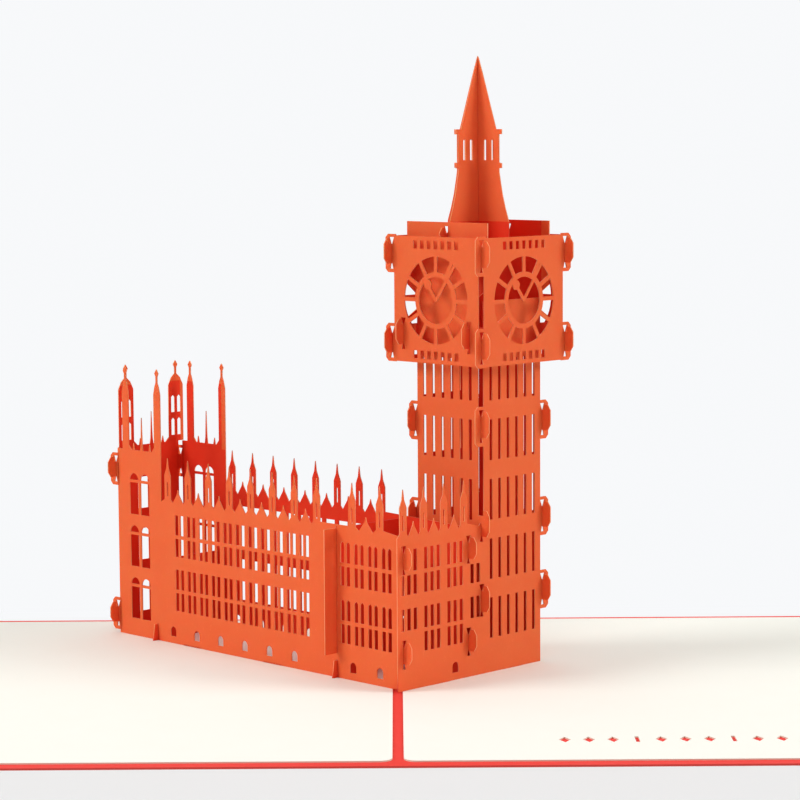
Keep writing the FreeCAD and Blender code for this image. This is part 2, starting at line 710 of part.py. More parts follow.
def dial(label, family, place, start, near_hooked, far_hooked):
    """A dial sheet: ring of openings, two hands, rows of square openings and its corner joints.

    Args:
        label: Name of the sheet.
        family: LONG or CROSS.
        place: Expression for the sheet's distance from the front corner.
        start: Where the tower begins along this sheet.
        near_hooked: True for hooks at the near edge, False for ears.
        far_hooked: The same for the far edge.
    """
    body = lattice_sheet(label, family, place)
    near, far = start - dial_out, start + size("tower_wide") + dial_out
    middle = (near + far) / 2
    edge = size("dentil_edge")
    openings = ring_openings(middle, dial_centre)
    openings.append(many_sided(middle, dial_centre, size("dial_eye"), EYE_SIDES))
    openings += dentils(middle, dial_head - edge) + dentils(middle, dial_foot + edge)
    plate = [rectangle(near + edge_gap, dial_foot, far - edge_gap, dial_head)]
    rim = (size("dial_eye") + size("ring_inner")) / 2
    lean = size("hand_lean")
    hands = [clock_hand(middle, dial_centre, lean, rim, False)]
    hands.append(clock_hand(middle, dial_centre, -lean, rim, True))
    for plane, side, hooked in ((near, -1, near_hooked), (far, 1, far_hooked)):
        if hooked:
            plate += hooks(plane, side, DIAL_HOOKS)
        else:
            plate += ears(plane, side, DIAL_HOOKS)
            openings += hook_slits(plane, DIAL_HOOKS)
    if family is LONG:
        openings += hook_slits(start, DIAL_TIES) + hook_slits(start + size("tower_wide"), DIAL_TIES)
    elif not near_hooked:
        rest = dial_head - size("dentil_edge") - size("slip")
        for u in (start, start + size("tower_wide")):
            openings.append(rectangle(u - slit / 2, rest, u + slit / 2, dial_head + slit))
    paper_sheet(body, plate, openings, hands)


dial("dial_front_left", LONG, "Sizes.tower_front - Sizes.dial_out", 0, True, False)
dial("dial_back_right", LONG, "Sizes.tower_front + Sizes.tower_wide + Sizes.dial_out", 0, True, False)
dial("dial_front_right", CROSS, "-Sizes.dial_out", tower_front, False, False)
dial("dial_back_left", CROSS, "Sizes.tower_wide + Sizes.dial_out", tower_front, True, True)


def spire_outline(middle, foot):
    """A spire sheet: straight foot, hollow taper, lantern with pegs, and the needle."""
    base = size("tower_wide") / 2 - edge_gap
    start = size("head_top")
    lantern = size("lantern_half")
    z0, z1 = size("lantern_base"), size("lantern_base") + size("lantern_high")
    peg = size("slip") * 8
    side = [(base, foot), (base, start)]
    for k in (1, 2, 3):
        t = k / 4
        hollow = size("spire_hollow") * math.sin(math.pi * t)
        side.append((base + (lantern - base) * t - hollow, start + (z0 - start) * t))
    side += [(lantern, z0 - peg), (lantern, z0), (lantern + peg, z0), (lantern + peg, z0 + peg * 1.4)]
    side += [(lantern, z0 + peg * 1.4), (lantern, z1 - peg * 1.4), (lantern + peg, z1 - peg * 1.4)]
    side += [(lantern + peg, z1), (lantern * 0.86, z1)]
    for k in (1, 2, 3, 4):
        t = k / 5
        side.append((lantern * 0.86 * (1 - t) ** 1.25 + slit * t, z1 + (size("spire_top") - z1) * t * 0.94))
    side.append((slit / 2, size("spire_top") - slit))
    return [(middle - u, v) for u, v in side] + [(middle, size("spire_top"))] + [
        (middle + u, v) for u, v in reversed(side)]


def lantern_windows(middle):
    """Two narrow lights in each arm of the lantern."""
    lantern = size("lantern_half")
    z0 = size("lantern_base") + size("lantern_high") * 0.2
    z1 = size("lantern_base") + size("lantern_high") * 0.76
    openings = []
    for arm in (-1, 1):
        for share in (0.36, 0.7):
            openings.append(lancet_light(middle + arm * lantern * share, z0, z1, size("light_wide")))
    return openings


# Spire: two sheets halved into each other over the middle of the tower
spire_cross = lattice_sheet("spire_cross", CROSS, "Sizes.tower_wide / 2")
middle = tower_mid_across
plate = [outline(spire_outline(middle, size("spire_foot")))]
plate += hooks(tower_front, -1, SPIRE_HOOKS) + hooks(tower_back, 1, SPIRE_HOOKS)
lap = rectangle(middle - slit / 2, size("spire_lap"), middle + slit / 2, size("spire_top") + slit)
paper_sheet(spire_cross, plate, lantern_windows(middle) + [lap])

spire_long = lattice_sheet("spire_long", LONG, "Sizes.tower_front + Sizes.tower_wide / 2")
middle = tower_mid_along
plate = [outline(spire_outline(middle, size("spire_foot")))]
lap = rectangle(middle - slit / 2, size("spire_foot") - slit, middle + slit / 2, size("spire_lap"))
paper_sheet(spire_long, plate, lantern_windows(middle) + [lap])

# Cross wall: halved into the front wall, hooked through the back wall
cross = lattice_sheet("cross_wall", CROSS, "Sizes.cross_wall")
cross_end = back_wall - edge_gap
tongue = front_wall - size("cross_reach")
points = [(front_wall - slit / 2, page_top), (cross_end, page_top), (cross_end, eaves), (tongue, eaves)]
points += [(tongue, size("tongue_base")), (front_wall - slit / 2, size("tongue_base"))]
foot_top = page_top + size("foot_height")
lap = rectangle(front_wall - slit / 2, foot_top, front_wall + slit / 2, size("cross_lap"))
joints = hooks(back_wall, 1, HALL_HOOKS[:1]) + [foot_lug(front_wall, -1)]
paper_sheet(cross, [outline(points)] + joints, [lap])

# Low wall under the corner tower, with a foot lug through each long wall
low_cross = lattice_sheet("low_wall", CROSS, "Sizes.low_wall")
plate = rectangle(front_wall + edge_gap, page_top, back_wall - edge_gap, size("low_wall_top"))
paper_sheet(low_cross, [plate, foot_lug(front_wall, -1), foot_lug(back_wall, 1)], [])

# End wall of the corner tower, with its two broad turrets
end = lattice_sheet("end_wall", CROSS, "Sizes.end_wall")
first, last = front_wall + edge_gap, back_wall - edge_gap
broad = size("side_turret_wide")
roof = size("tower_roof")
front_turret, back_turret = size("side_turret_front"), size("side_turret_back")
top = [(first, roof)] + turret(front_turret, broad, roof)
top += tower_roof_edge(front_turret + broad / 2, back_turret - broad / 2)
top += turret(back_turret, broad, roof) + [(last, roof)]
wall = [outline([(first, page_top)] + top + [(last, page_top)])]
wall += hooks(front_wall, -1, END_HOOKS) + hooks(back_wall, 1, END_HOOKS) + page_tabs(TABS["end_wall"][2])
openings = arched_windows((first + last) / 2)
for u in (front_turret, back_turret):
    for column in centred(u, broad * 0.42, 2):
        for level in range(2):
            sill = roof + size("turret_sill") + level * size("turret_storey")
            openings.append(lancet_light(column, sill, sill + size("turret_light"), size("light_wide")))
paper_sheet(end, wall, openings)


def rounded_plate(x0, y0, x1, y1, radius):
    """A rectangle with rounded corners."""
    up = FreeCAD.Vector(0, 0, 1)
    corners = [(x1 - radius, y0 + radius, -90), (x1 - radius, y1 - radius, 0)]
    corners += [(x0 + radius, y1 - radius, 90), (x0 + radius, y0 + radius, 180)]
    arcs = []
    for x, y, turn in corners:
        circle = Part.Circle(flat(x, y), up, radius)
        arcs.append(Part.ArcOfCircle(circle, math.radians(turn), math.radians(turn + 90)))
    edges = []
    for arc, after in zip(arcs, arcs[1:] + arcs[:1]):
        edges += [arc, Part.LineSegment(arc.EndPoint, after.StartPoint)]
    return edges


def card_sheet(label, profile, thickness, lift):
    """A sheet of the card, lying level."""
    body = doc.addObject("PartDesign::Body", label)
    body.Label = label
    if lift:
        body.setExpression("Placement.Base.z", lift)
    pad = body.newObject("PartDesign::Pad", label + "_sheet")
    pad.Profile = draw(body, label + "_outline", "XY_Plane", profile)
    pad.setExpression("Length", thickness)
    body.Tip = pad
    return body


def punch(body, name, profiles):
    """Openings cut through a level sheet."""
    pocket = body.newObject("PartDesign::Pocket", name)
    pocket.Profile = draw(body, name + "_outline", "XY_Plane", sum(profiles, []))
    pocket.Type = "ThroughAll"
    pocket.SideType = "Symmetric"
    pocket.Refine = False
    body.Tip = pocket


def lattice_point(along, across):
    """A point of the lattice in the card's own coordinates."""
    q = math.sqrt(0.5)
    setback = size("corner_setback") - size("card_depth") / 2
    return (across - along) * q, setback + (across + along) * q


def tab_slits(left_side):
    """The slits in one page for the tabs of the walls that stand on it."""
    half = size("tab_length") / 2 + size("slip")
    slits = []
    for family, place, middles in TABS.values():
        for u in middles:
            corners = []
            for du, dv in ((-half, -slit / 2), (half, -slit / 2), (half, slit / 2), (-half, slit / 2)):
                if family is LONG:
                    corners.append(lattice_point(u + du, place + dv))
                else:
                    corners.append(lattice_point(place + dv, u + du))
            on_left = sum(x for x, y in corners) < 0
            if on_left == left_side:
                slits.append(outline(corners))
    return slits


def motif_row():
    """A row of plain cut-outs: lozenges, with a short bar after every third."""
    y = size("motif_front") - size("card_depth") / 2
    wide, high = size("motif_wide") / 2, size("motif_high") / 2
    row = []
    for k, x in enumerate(steps(size("motif_start"), size("motif_end"), size("motif_pitch"))):
        if k % 4 == 3:
            row.append(rectangle(x - wide / 3, y - high, x + wide / 3, y + high))
        else:
            row.append(outline([(x - wide, y), (x, y - high), (x + wide, y), (x, y + high)]))
    return row


# The folded cover, in one piece, and its two inner pages
leaf, depth = size("leaf_width"), size("card_depth")
margin, gap = size("page_margin"), size("spine_gap") / 2
cover_outline = rounded_plate(-leaf, -depth / 2, leaf, depth / 2, size("cover_corner"))
card_sheet("cover", cover_outline, "Sizes.cover_thick", None)
reach_y = depth / 2 - margin
left_outline = rounded_plate(margin - leaf, -reach_y, -gap, reach_y, size("page_corner"))
left_page = card_sheet("left_page", left_outline, "Sizes.page_thick", "Sizes.cover_thick")
punch(left_page, "left_page_slits", tab_slits(True))
right_outline = rounded_plate(gap, -reach_y, leaf - margin, reach_y, size("page_corner"))
right_page = card_sheet("right_page", right_outline, "Sizes.page_thick", "Sizes.cover_thick")
punch(right_page, "right_page_slits", tab_slits(False))
punch(right_page, "right_page_motifs", motif_row())

doc.recompute()
failed = [o.Label for o in doc.Objects if "Invalid" in o.State or "Error" in o.State]
bodies = [o for o in doc.Objects if o.TypeId == "PartDesign::Body"]
unsound = [b.Label for b in bodies if b.Shape.isNull() or not b.Shape.isValid()]
split = [b.Label for b in bodies if not b.Shape.isNull() and len(b.Shape.Solids) != 1]
if failed or unsound or split:
    raise RuntimeError("failed %s, unsound %s, not one piece %s" % (failed, unsound, split))

os.makedirs("parts", exist_ok=True)
for body in bodies:
    body.Shape.exportStep("parts/%s.step" % body.Label)
    box = body.Shape.BoundBox
    print("%-18s %8.1f mm3  %6.1f x %6.1f x %6.1f" % (body.Label, body.Shape.Volume, box.XLength, box.YLength,
                                                      box.ZLength))
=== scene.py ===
import logging
import math
from dataclasses import dataclass, field
from enum import Enum

import bpy
from mathutils import Matrix, Vector


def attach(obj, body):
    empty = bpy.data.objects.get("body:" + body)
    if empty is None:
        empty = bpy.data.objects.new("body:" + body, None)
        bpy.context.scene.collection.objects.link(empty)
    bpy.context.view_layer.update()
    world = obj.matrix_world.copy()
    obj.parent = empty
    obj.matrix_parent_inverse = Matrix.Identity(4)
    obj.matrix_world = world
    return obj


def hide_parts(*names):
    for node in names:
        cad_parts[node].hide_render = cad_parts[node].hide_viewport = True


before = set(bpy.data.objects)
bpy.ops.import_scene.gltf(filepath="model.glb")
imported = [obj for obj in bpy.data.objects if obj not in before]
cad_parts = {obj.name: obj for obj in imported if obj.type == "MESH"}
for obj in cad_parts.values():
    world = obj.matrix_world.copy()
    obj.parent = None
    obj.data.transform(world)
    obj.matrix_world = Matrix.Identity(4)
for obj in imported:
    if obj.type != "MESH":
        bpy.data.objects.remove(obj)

LOG = logging.getLogger("pop_up_card")

Colour = tuple[float, float, float, float]


def mm(length: float) -> float:
    """Metres for a length in millimetres."""
    return length / 1000.0


def from_screen(red: int, green: int, blue: int) -> Colour:
    """Linear colour for a screen colour of 0 to 255.

    Args:
        red: Red of the screen colour.
        green: Green of the screen colour.
        blue: Blue of the screen colour.

    Returns:
        The linear colour, opaque.
    """
    def linear(value: int) -> float:
        share = value / 255.0
        return share / 12.92 if share <= 0.04045 else ((share + 0.055) / 1.055) ** 2.4

    return (linear(red), linear(green), linear(blue), 1.0)


class Facing(Enum):
    """Which way a sheet faces: the line square to it."""

    ALONG = (0.7071, -0.7071, 0.0)
    ACROSS = (0.7071, 0.7071, 0.0)
    UP = (0.0, 0.0, 1.0)


@dataclass(frozen=True)
class PaperFinish:
    """How one kind of paper or card looks.

    Attributes:
        name: Name of the material.
        face: Colour of the printed or dyed face.
        deep: Colour in the darker fibres and clouds.
        edge: Colour of a cut edge.
        rough: Roughness of the face.
        grain: Size of the surface grain, in metres.
        relief: Height of that grain, in metres.
        cloud: Share of the cloudy colour change in the sheet.
        fleck: Share of fibres that show as lighter flecks.
        hollow: Colour of the painted shade in hollows and inside the building, where the sheets shade each other.
        painted_shade_share: How strongly that painted shade shows, from 0 to 1.
        glow: Share of the light that soaks into the sheet.
    """

    name: str
    face: Colour
    deep: Colour
    edge: Colour
    rough: float
    grain: float
    relief: float
    cloud: float
    fleck: float
    # painted shade: the next two fields give the colour and strength of the shade painted into hollows and inside
    # the building
    hollow: Colour
    painted_shade_share: float
    glow: float


ORANGE_PAPER = PaperFinish(
    name="orange_paper",
    face=from_screen(240, 109, 58),
    deep=from_screen(233, 93, 46),
    # paler cut edge: partly a painted highlight, the light line that the lamps put along the edges
    edge=from_screen(250, 158, 112),
    rough=0.72,
    grain=mm(0.22),
    relief=mm(0.010),
    cloud=0.35,
    fleck=0.10,
    # painted shade: deep red that stands in for the shade and orange bounce light inside the building
    hollow=from_screen(232, 36, 8),
    painted_shade_share=0.95,
    glow=0.4,
)

CREAM_PAPER = PaperFinish(
    name="cream_paper",
    face=from_screen(250, 251, 243),
    deep=from_screen(247, 248, 238),
    edge=from_screen(232, 222, 205),
    rough=0.78,
    grain=mm(0.25),
    relief=mm(0.008),
    cloud=0.30,
    fleck=0.06,
    # painted shade: darker cream where walls stand close over the page
    hollow=from_screen(238, 226, 206),
    painted_shade_share=0.2,
    glow=0.0,
)

RED_CARD = PaperFinish(
    name="red_card",
    face=from_screen(240, 62, 52),
    deep=from_screen(222, 46, 40),
    edge=from_screen(214, 70, 62),
    rough=0.62,
    grain=mm(0.30),
    relief=mm(0.012),
    cloud=0.30,
    fleck=0.05,
    # painted shade: darker red where the building stands close over the cover
    hollow=from_screen(190, 38, 34),
    painted_shade_share=0.5,
    glow=0.0,
)


@dataclass(frozen=True)
class Sizes:
    """Sizes of the sheets, in millimetres."""

    card_depth: float = 150.0  # length of the spine
    cover_thick: float = 0.4  # thickness of the cover card
    page_thick: float = 0.3  # thickness of the inner pages
    paper: float = 0.3  # thickness of the building's paper
    slip: float = 0.1  # clearance on each side of a sheet in its slit
    corner_setback: float = 63.7  # front corner of the hall from the front edge of the card
    edge_gap: float = 0.8  # from the edge of a sheet to the plane of the sheet that it meets
    ear_reach: float = 1.9  # from the plane of a hooked sheet to the end of the ear that holds it
    hook_reach: float = 2.5  # from the plane of a slit to the tip of the hook that it holds
    hook_lip: float = 1.2  # rise of a hook past the end of its slit
    flare_half: float = 0.8  # half width of the opening at the head of a hook's slit
    flare_high: float = 1.4  # height of that opening
    foot_height: float = 3.9  # height of a foot lug above the page
    foot_reach: float = 1.6  # from the plane of a sheet to the tip of a foot lug
    tab_length: float = 6.0  # length of a tab that passes through a page
    near_tab: float = 42.0  # first tab of the front and back walls, along
    far_tab: float = 70.0  # second tab of the front and back walls, along
    gable_tab: float = 13.0  # first tab of the right wall, across
    front_wall: float = 1.9  # front wall, across
    back_wall: float = 22.2  # back wall, across
    end_wall: float = 97.2  # end wall, along
    cross_wall: float = 20.7  # cross wall behind the front bay, along
    low_wall: float = 82.4  # low wall under the corner tower, along
    cross_reach: float = 3.8  # reach of the cross wall past the front wall
    cross_lap: float = 20.0  # height of the half lap of front wall and cross wall
    tongue_base: float = 6.2  # height of the lower edge of the cross wall's tongue
    low_wall_top: float = 20.0  # height of the low wall
    eaves: float = 34.1  # height of the wall between the pinnacles
    pinnacle_top: float = 44.6  # height of a pinnacle
    gable_top: float = 37.4  # height of the small gable between two pinnacles
    pinnacle_pitch: float = 7.3  # step from pinnacle to pinnacle
    pinnacle_wide: float = 2.1  # width of a pinnacle's cap
    light_wide: float = 1.15  # width of one light of a window
    lantern_light: float = 0.9  # width of one light of the spire's lantern
    light_pitch: float = 1.85  # step between the lights of a window
    window_pitch: float = 4.3  # step between windows of the front and back walls
    upper_sill: float = 21.5  # sill of the upper storey
    lower_sill: float = 8.6  # sill of the lower storey
    transom: float = 4.3  # height of a light below the transom
    window_bar: float = 0.8  # width of the paper bar between two openings of one window
    lancet: float = 4.8  # height of a light above the transom
    vent_wide: float = 2.0  # width of a basement arch
    vent_high: float = 2.4  # height of a basement arch
    vent_sill: float = 2.3  # sill of a basement arch
    vent_pitch: float = 8.4  # step from arch to arch
    bay_middle: float = 11.4  # middle of the front bay's windows and pinnacles, along
    hall_middle: float = 52.5  # middle of the hall's windows and pinnacles, along
    vent_middle: float = 55.6  # middle of the hall's basement arches, along
    gable_first: float = 3.5  # middle of the right wall's first window, across
    gable_crest: float = 11.3  # middle of the right wall's pinnacles, across
    bay_pitch: float = 8.6  # step from pinnacle to pinnacle in the front bay
    gable_pinnacle_pitch: float = 6.3  # step from pinnacle to pinnacle on the right wall
    gable_window_pitch: float = 7.2  # step between the windows of the right wall
    gable_light_pitch: float = 1.95  # step between the lights of a window of the right wall
    turret_place: float = 81.6  # right turret of the corner tower's broad sides, along
    turret_spacing: float = 11.7  # step between those turrets
    turret_wide: float = 2.3  # width of such a turret
    side_turret_wide: float = 4.5  # width of a turret of the end wall
    side_turret_front: float = 5.2  # front turret of the end wall, across
    side_turret_back: float = 20.8  # back turret of the end wall, across
    turret_cap: float = 60.4  # height at which a turret's cap begins
    turret_top: float = 65.4  # height of a turret's finial
    tower_roof: float = 45.6  # height of the corner tower between its turrets
    needle_top: float = 53.5  # height of the needle between the turrets
    merlon: float = 1.6  # rise of a merlon at the foot of the needle
    turret_sill: float = 1.5  # lower lights of a side turret, above the roof line
    turret_light: float = 4.3  # height of a light of a side turret
    turret_storey: float = 5.6  # step between the lights of a side turret
    arch_wide: float = 3.2  # width of a tall arched light
    arch_storey: float = 12.6  # step between the arched storeys
    arch_sill: float = 4.9  # sill of the lowest arched light
    arch_high: float = 10.4  # height of an arched light with its head
    tower_front: float = 26.4  # left wall of the clock tower, across
    tower_wide: float = 20.2  # distance between opposite walls of the clock tower
    slot_wide: float = 0.95  # width of a tower slot
    slot_pitch: float = 2.8  # step from slot to slot
    slot_high: float = 9.1  # length of a tower slot
    slot_base: float = 8.4  # height of the lowest slots
    slot_storey: float = 13.3  # step between the rows of slots
    dial_centre: float = 83.6  # height of the middle of a dial
    dial_out: float = 3.6  # distance of a dial sheet from the tower wall behind it
    dial_high: float = 28.1  # height of a dial sheet
    ring_outer: float = 9.7  # outer radius of the ring of openings
    ring_inner: float = 6.3  # inner radius of the ring of openings
    dial_eye: float = 5.2  # radius of the opening inside the ring
    spoke: float = 0.9  # width of a spoke of the ring
    hand: float = 0.7  # width of a clock hand
    hand_lean: float = 36.0  # angle of a clock hand from upright, in degrees
    dentil: float = 1.2  # width of a small square opening
    dentil_high: float = 1.8  # height of a small square opening
    dentil_pitch: float = 2.1  # step between the small square openings
    dentil_edge: float = 1.8  # middle of that row from the edge of the dial sheet
    head_top: float = 100.8  # height of the tower walls behind the dials
    head_reach: float = 2.2  # how far those walls reach past the tower on each side
    lantern_half: float = 6.4  # half width of the lantern
    lantern_base: float = 112.6  # height of the foot of the lantern
    lantern_high: float = 8.6  # height of the lantern
    spire_top: float = 137.4  # height of the tip
    spire_hollow: float = 0.45  # how far the taper under the lantern is hollowed
    spire_foot: float = 94.0  # lower edge of the spire sheets
    spire_lap: float = 112.0  # height of the half lap of the two spire sheets
    hall_joint_low: float = 6.6  # foot of the lower hooks of the hall
    hall_joint_high: float = 27.2  # foot of the upper hooks of the hall
    hall_hook: float = 3.6  # height of a hook's neck at the hall
    end_joint_low: float = 3.4  # foot of the lower hooks of the end wall
    end_joint_high: float = 38.6  # foot of the upper hooks of the end wall
    tower_joint_low: float = 14.8  # foot of the lowest hooks of the clock tower
    tower_joint_mid: float = 31.6  # foot of the middle hooks of the clock tower
    tower_joint_high: float = 53.6  # foot of the highest hooks of the clock tower
    tower_hook: float = 4.6  # height of a hook's neck at the clock tower
    dial_joint: float = 10.0  # middle of a corner hook of the dials from the dial's centre
    dial_hook: float = 4.4  # height of such a hook's neck
    dial_tie: float = 7.9  # middle of a hook through a dial sheet, below the dial's centre
    spire_tie: float = 97.0  # foot of the hooks of the spire through the tower walls
    spire_hook: float = 1.4  # height of such a hook's neck


SIZES = Sizes()

# Sizes that the drawings of the sheets share
paper = SIZES.paper
slit = paper + 2 * SIZES.slip
edge_gap = SIZES.edge_gap
page_top = SIZES.cover_thick + SIZES.page_thick
eaves = SIZES.eaves
front_wall = SIZES.front_wall
back_wall = SIZES.back_wall
end_wall = SIZES.end_wall
cross_wall = SIZES.cross_wall
low_wall = SIZES.low_wall
tower_front = SIZES.tower_front
tower_back = tower_front + SIZES.tower_wide
tower_side = SIZES.tower_wide
tower_mid_across = tower_front + SIZES.tower_wide / 2
tower_mid_along = SIZES.tower_wide / 2
dial_out = SIZES.dial_out
dial_centre = SIZES.dial_centre
dial_foot = dial_centre - SIZES.dial_high / 2
dial_head = dial_centre + SIZES.dial_high / 2
hook_rise = SIZES.hook_lip

# Foot and height of the neck of each hook, grouped by the sheets that share them
Joint = tuple[float, float]
Outline = list[tuple[float, float]]
HALL_HOOKS = [
    (SIZES.hall_joint_low, SIZES.hall_hook),
    (SIZES.hall_joint_high, SIZES.hall_hook),
]
END_HOOKS = [
    (SIZES.end_joint_low, SIZES.hall_hook),
    (SIZES.end_joint_high, SIZES.hall_hook),
]
TOWER_HOOKS = [
    (SIZES.tower_joint_low, SIZES.tower_hook),
    (SIZES.tower_joint_mid, SIZES.tower_hook),
    (SIZES.tower_joint_high, SIZES.tower_hook),
]
DIAL_HOOKS = [
    (dial_centre - SIZES.dial_joint - SIZES.dial_hook / 2, SIZES.dial_hook),
    (dial_centre + SIZES.dial_joint - SIZES.dial_hook / 2, SIZES.dial_hook),
]
DIAL_TIES = [(dial_centre - SIZES.dial_tie - SIZES.dial_hook / 2, SIZES.dial_hook)]
SPIRE_HOOKS = [(SIZES.spire_tie, SIZES.spire_hook)]


# Storeys of the clock tower below its dials, the lowest that has slots in the walls other than
# the right one, and slots in a row
STOREYS = 5
LIT_STOREY = 2
SLOTS = 6

# Openings in the ring of a dial, sides of the opening inside it, and small openings in a row
HOURS = 12
EYE_SIDES = 48
DENTILS = 7


def outline(points: Outline) -> Outline:
    """Straight cuts from point to point, closed."""
    return list(points)


def rectangle(u0: float, v0: float, u1: float, v1: float) -> Outline:
    """A level rectangle."""
    return outline([(u0, v0), (u1, v0), (u1, v1), (u0, v1)])


def lancet_light(u: float, v0: float, v1: float, wide: float) -> Outline:
    """A narrow light with a pointed head."""
    half = wide / 2
    return outline([(u - half, v0), (u + half, v0), (u + half, v1 - half), (u, v1), (u - half, v1 - half)])


def arch_head(u: float, spring: float, half: float, facets: int) -> Outline:
    """Corners of a half round head, cut as short facets from right to left."""
    turns = [math.pi * k / facets for k in range(facets + 1)]
    return [(u + half * math.cos(a), spring + half * math.sin(a)) for a in turns]


def round_arch(u: float, v0: float, v1: float, wide: float) -> Outline:
    """An opening with a flat sill and a half round head."""
    half = wide / 2
    return outline([(u - half, v0), (u + half, v0)] + arch_head(u, v1 - half, half, 8))


def half_round(u: float, v0: float, wide: float) -> Outline:
    """The head of an arch by itself, above its transom."""
    return outline(arch_head(u, v0, wide / 2, 12))


def many_sided(u: float, v: float, radius: float, sides: int) -> Outline:
    """A round opening, cut as a regular figure."""
    turns = [2 * math.pi * k / sides for k in range(sides)]
    return outline([(u + radius * math.cos(a), v + radius * math.sin(a)) for a in turns])


def centred(middle: float, pitch: float, count: int) -> list[float]:
    """So many places at that pitch, centred on the middle."""
    return [middle + (k - (count - 1) / 2) * pitch for k in range(count)]


def hook(plane: float, side: int, foot: float, height: float) -> Outline:
    """A hook that leaves its wall, passes the plane of a slit and turns up behind it.

    Args:
        plane: Where the slit's sheet stands.
        side: 1 when the hook points towards growing values, -1 when it points back.
        foot: Lower edge of the neck.
        height: Height of the neck.
    """
    root = plane - side * (edge_gap + slit)
    face = plane + side * slit / 2
    tip = plane + side * SIZES.hook_reach
    top = foot + height
    crest = top + hook_rise
    notch = face + side * slit
    bevel = side * slit * 1.6
    points = [(root, foot), (tip - bevel, foot), (tip, foot + hook_rise), (tip, top)]
    points += [(tip - bevel, crest), (notch, crest), (notch, top), (root, top)]
    return outline(points if side > 0 else points[::-1])


def hook_slit(plane: float, foot: float, height: float) -> Outline:
    """The slit for such a hook: it widens below the neck, to let the lip through, and above it."""
    half, flare = slit / 2, SIZES.flare_half
    low, top = foot - hook_rise, foot + height + SIZES.slip
    head = top + SIZES.flare_high
    right = [(plane + flare * 0.7, low), (plane + half, foot), (plane + half, top), (plane + flare, head)]
    return outline(right + [(2 * plane - p, v) for p, v in reversed(right)])


def ear(plane: float, side: int, foot: float, height: float) -> Outline:
    """The part of a sheet that reaches past the plane of the sheet hooked to it."""
    root = plane - side * (edge_gap + slit)
    tip = plane + side * SIZES.ear_reach
    low = foot - hook_rise - edge_gap
    high = foot + height + SIZES.flare_high + edge_gap
    bevel = side * slit * 1.6
    points = [(root, low), (tip - bevel, low), (tip, low + slit * 1.6), (tip, high - slit * 1.6)]
    points += [(tip - bevel, high), (root, high)]
    return outline(points if side > 0 else points[::-1])


def hooks(plane: float, side: int, joints: list[Joint]) -> list[Outline]:
    """The hooks of one edge."""
    return [hook(plane, side, foot, height) for foot, height in joints]


def hook_slits(plane: float, joints: list[Joint]) -> list[Outline]:
    """The slits that such hooks drop into."""
    return [hook_slit(plane, foot, height) for foot, height in joints]


def ears(plane: float, side: int, joints: list[Joint]) -> list[Outline]:
    """The ears of one edge."""
    return [ear(plane, side, foot, height) for foot, height in joints]


def foot_lug(plane: float, side: int) -> Outline:
    """A lug at the base that passes the plane of another sheet."""
    root = plane - side * (edge_gap + slit)
    tip = plane + side * SIZES.foot_reach
    top = page_top + SIZES.foot_height
    points = [(root, page_top), (tip, page_top), (tip - side * slit, top), (root, top)]
    return outline(points if side > 0 else points[::-1])


def foot_notch(plane: float) -> Outline:
    """The notch, open below, that lets a foot lug through."""
    top = page_top + SIZES.foot_height + SIZES.slip
    return rectangle(plane - slit / 2, page_top - slit, plane + slit / 2, top)


def page_tabs(middles: list[float]) -> list[Outline]:
    """Tabs that reach down through a page to the cover."""
    half = SIZES.tab_length / 2
    return [rectangle(u - half, SIZES.cover_thick, u + half, page_top + paper) for u in middles]


def crest(places: list[float], pitch: float) -> Outline:
    """Top edge of a wall: a pinnacle at each place, with a small gable between each two."""
    half = SIZES.pinnacle_wide / 2
    rise = SIZES.pinnacle_top - eaves
    gable_rise = SIZES.gable_top - eaves
    points = []
    for k, u in enumerate(places):
        left = [(u - half, eaves + rise * 0.08), (u - half, eaves + rise * 0.62)]
        left += [(u - half * 0.3, eaves + rise * 0.78)]
        right = [(2 * u - p, v) for p, v in reversed(left)]
        points += left + [(u, eaves + rise)] + right
        if k + 1 < len(places):
            g = u + pitch / 2
            points += [(g - pitch / 4, eaves), (g - half * 0.25, eaves + gable_rise * 0.7)]
            points += [(g, eaves + gable_rise)]
            points += [(g + half * 0.25, eaves + gable_rise * 0.7), (g + pitch / 4, eaves)]
    return points


def crest_slots(places: list[float]) -> list[Outline]:
    """The narrow slot in the shaft of each pinnacle."""
    half = SIZES.pinnacle_wide / 2
    rise = SIZES.pinnacle_top - eaves
    low, high = eaves + rise * 0.14, eaves + rise * 0.46
    return [rectangle(u - half * 0.26, low, u + half * 0.26, high) for u in places]


def light_row(places: list[float], count: int, pitch: float, sill: float,
              high: float, pointed: bool) -> list[Outline]:
    """One row of lights for windows of so many lights, flat or with pointed heads."""
    half = SIZES.light_wide / 2
    row = []
    for middle in places:
        for u in centred(middle, pitch, count):
            if pointed:
                row.append(lancet_light(u, sill, sill + high, SIZES.light_wide))
            else:
                row.append(rectangle(u - half, sill, u + half, sill + high))
    return row


def lower_lights(places: list[float], count: int, pitch: float, sill: float) -> list[Outline]:
    """Lights below the transom."""
    return light_row(places, count, pitch, sill, SIZES.transom, False)


def upper_lights(places: list[float], count: int, pitch: float, sill: float,
                 pointed: bool) -> list[Outline]:
    """Lights above the transom."""
    bar_top = sill + SIZES.transom + SIZES.window_bar
    return light_row(places, count, pitch, bar_top, SIZES.lancet, pointed)


def storeys(places: list[float], count: int, pitch: float, pointed: bool) -> list[Outline]:
    """Windows of both storeys, each cut above and below a transom."""
    openings = []
    for sill in (SIZES.upper_sill, SIZES.lower_sill):
        openings += lower_lights(places, count, pitch, sill)
        openings += upper_lights(places, count, pitch, sill, pointed)
    return openings


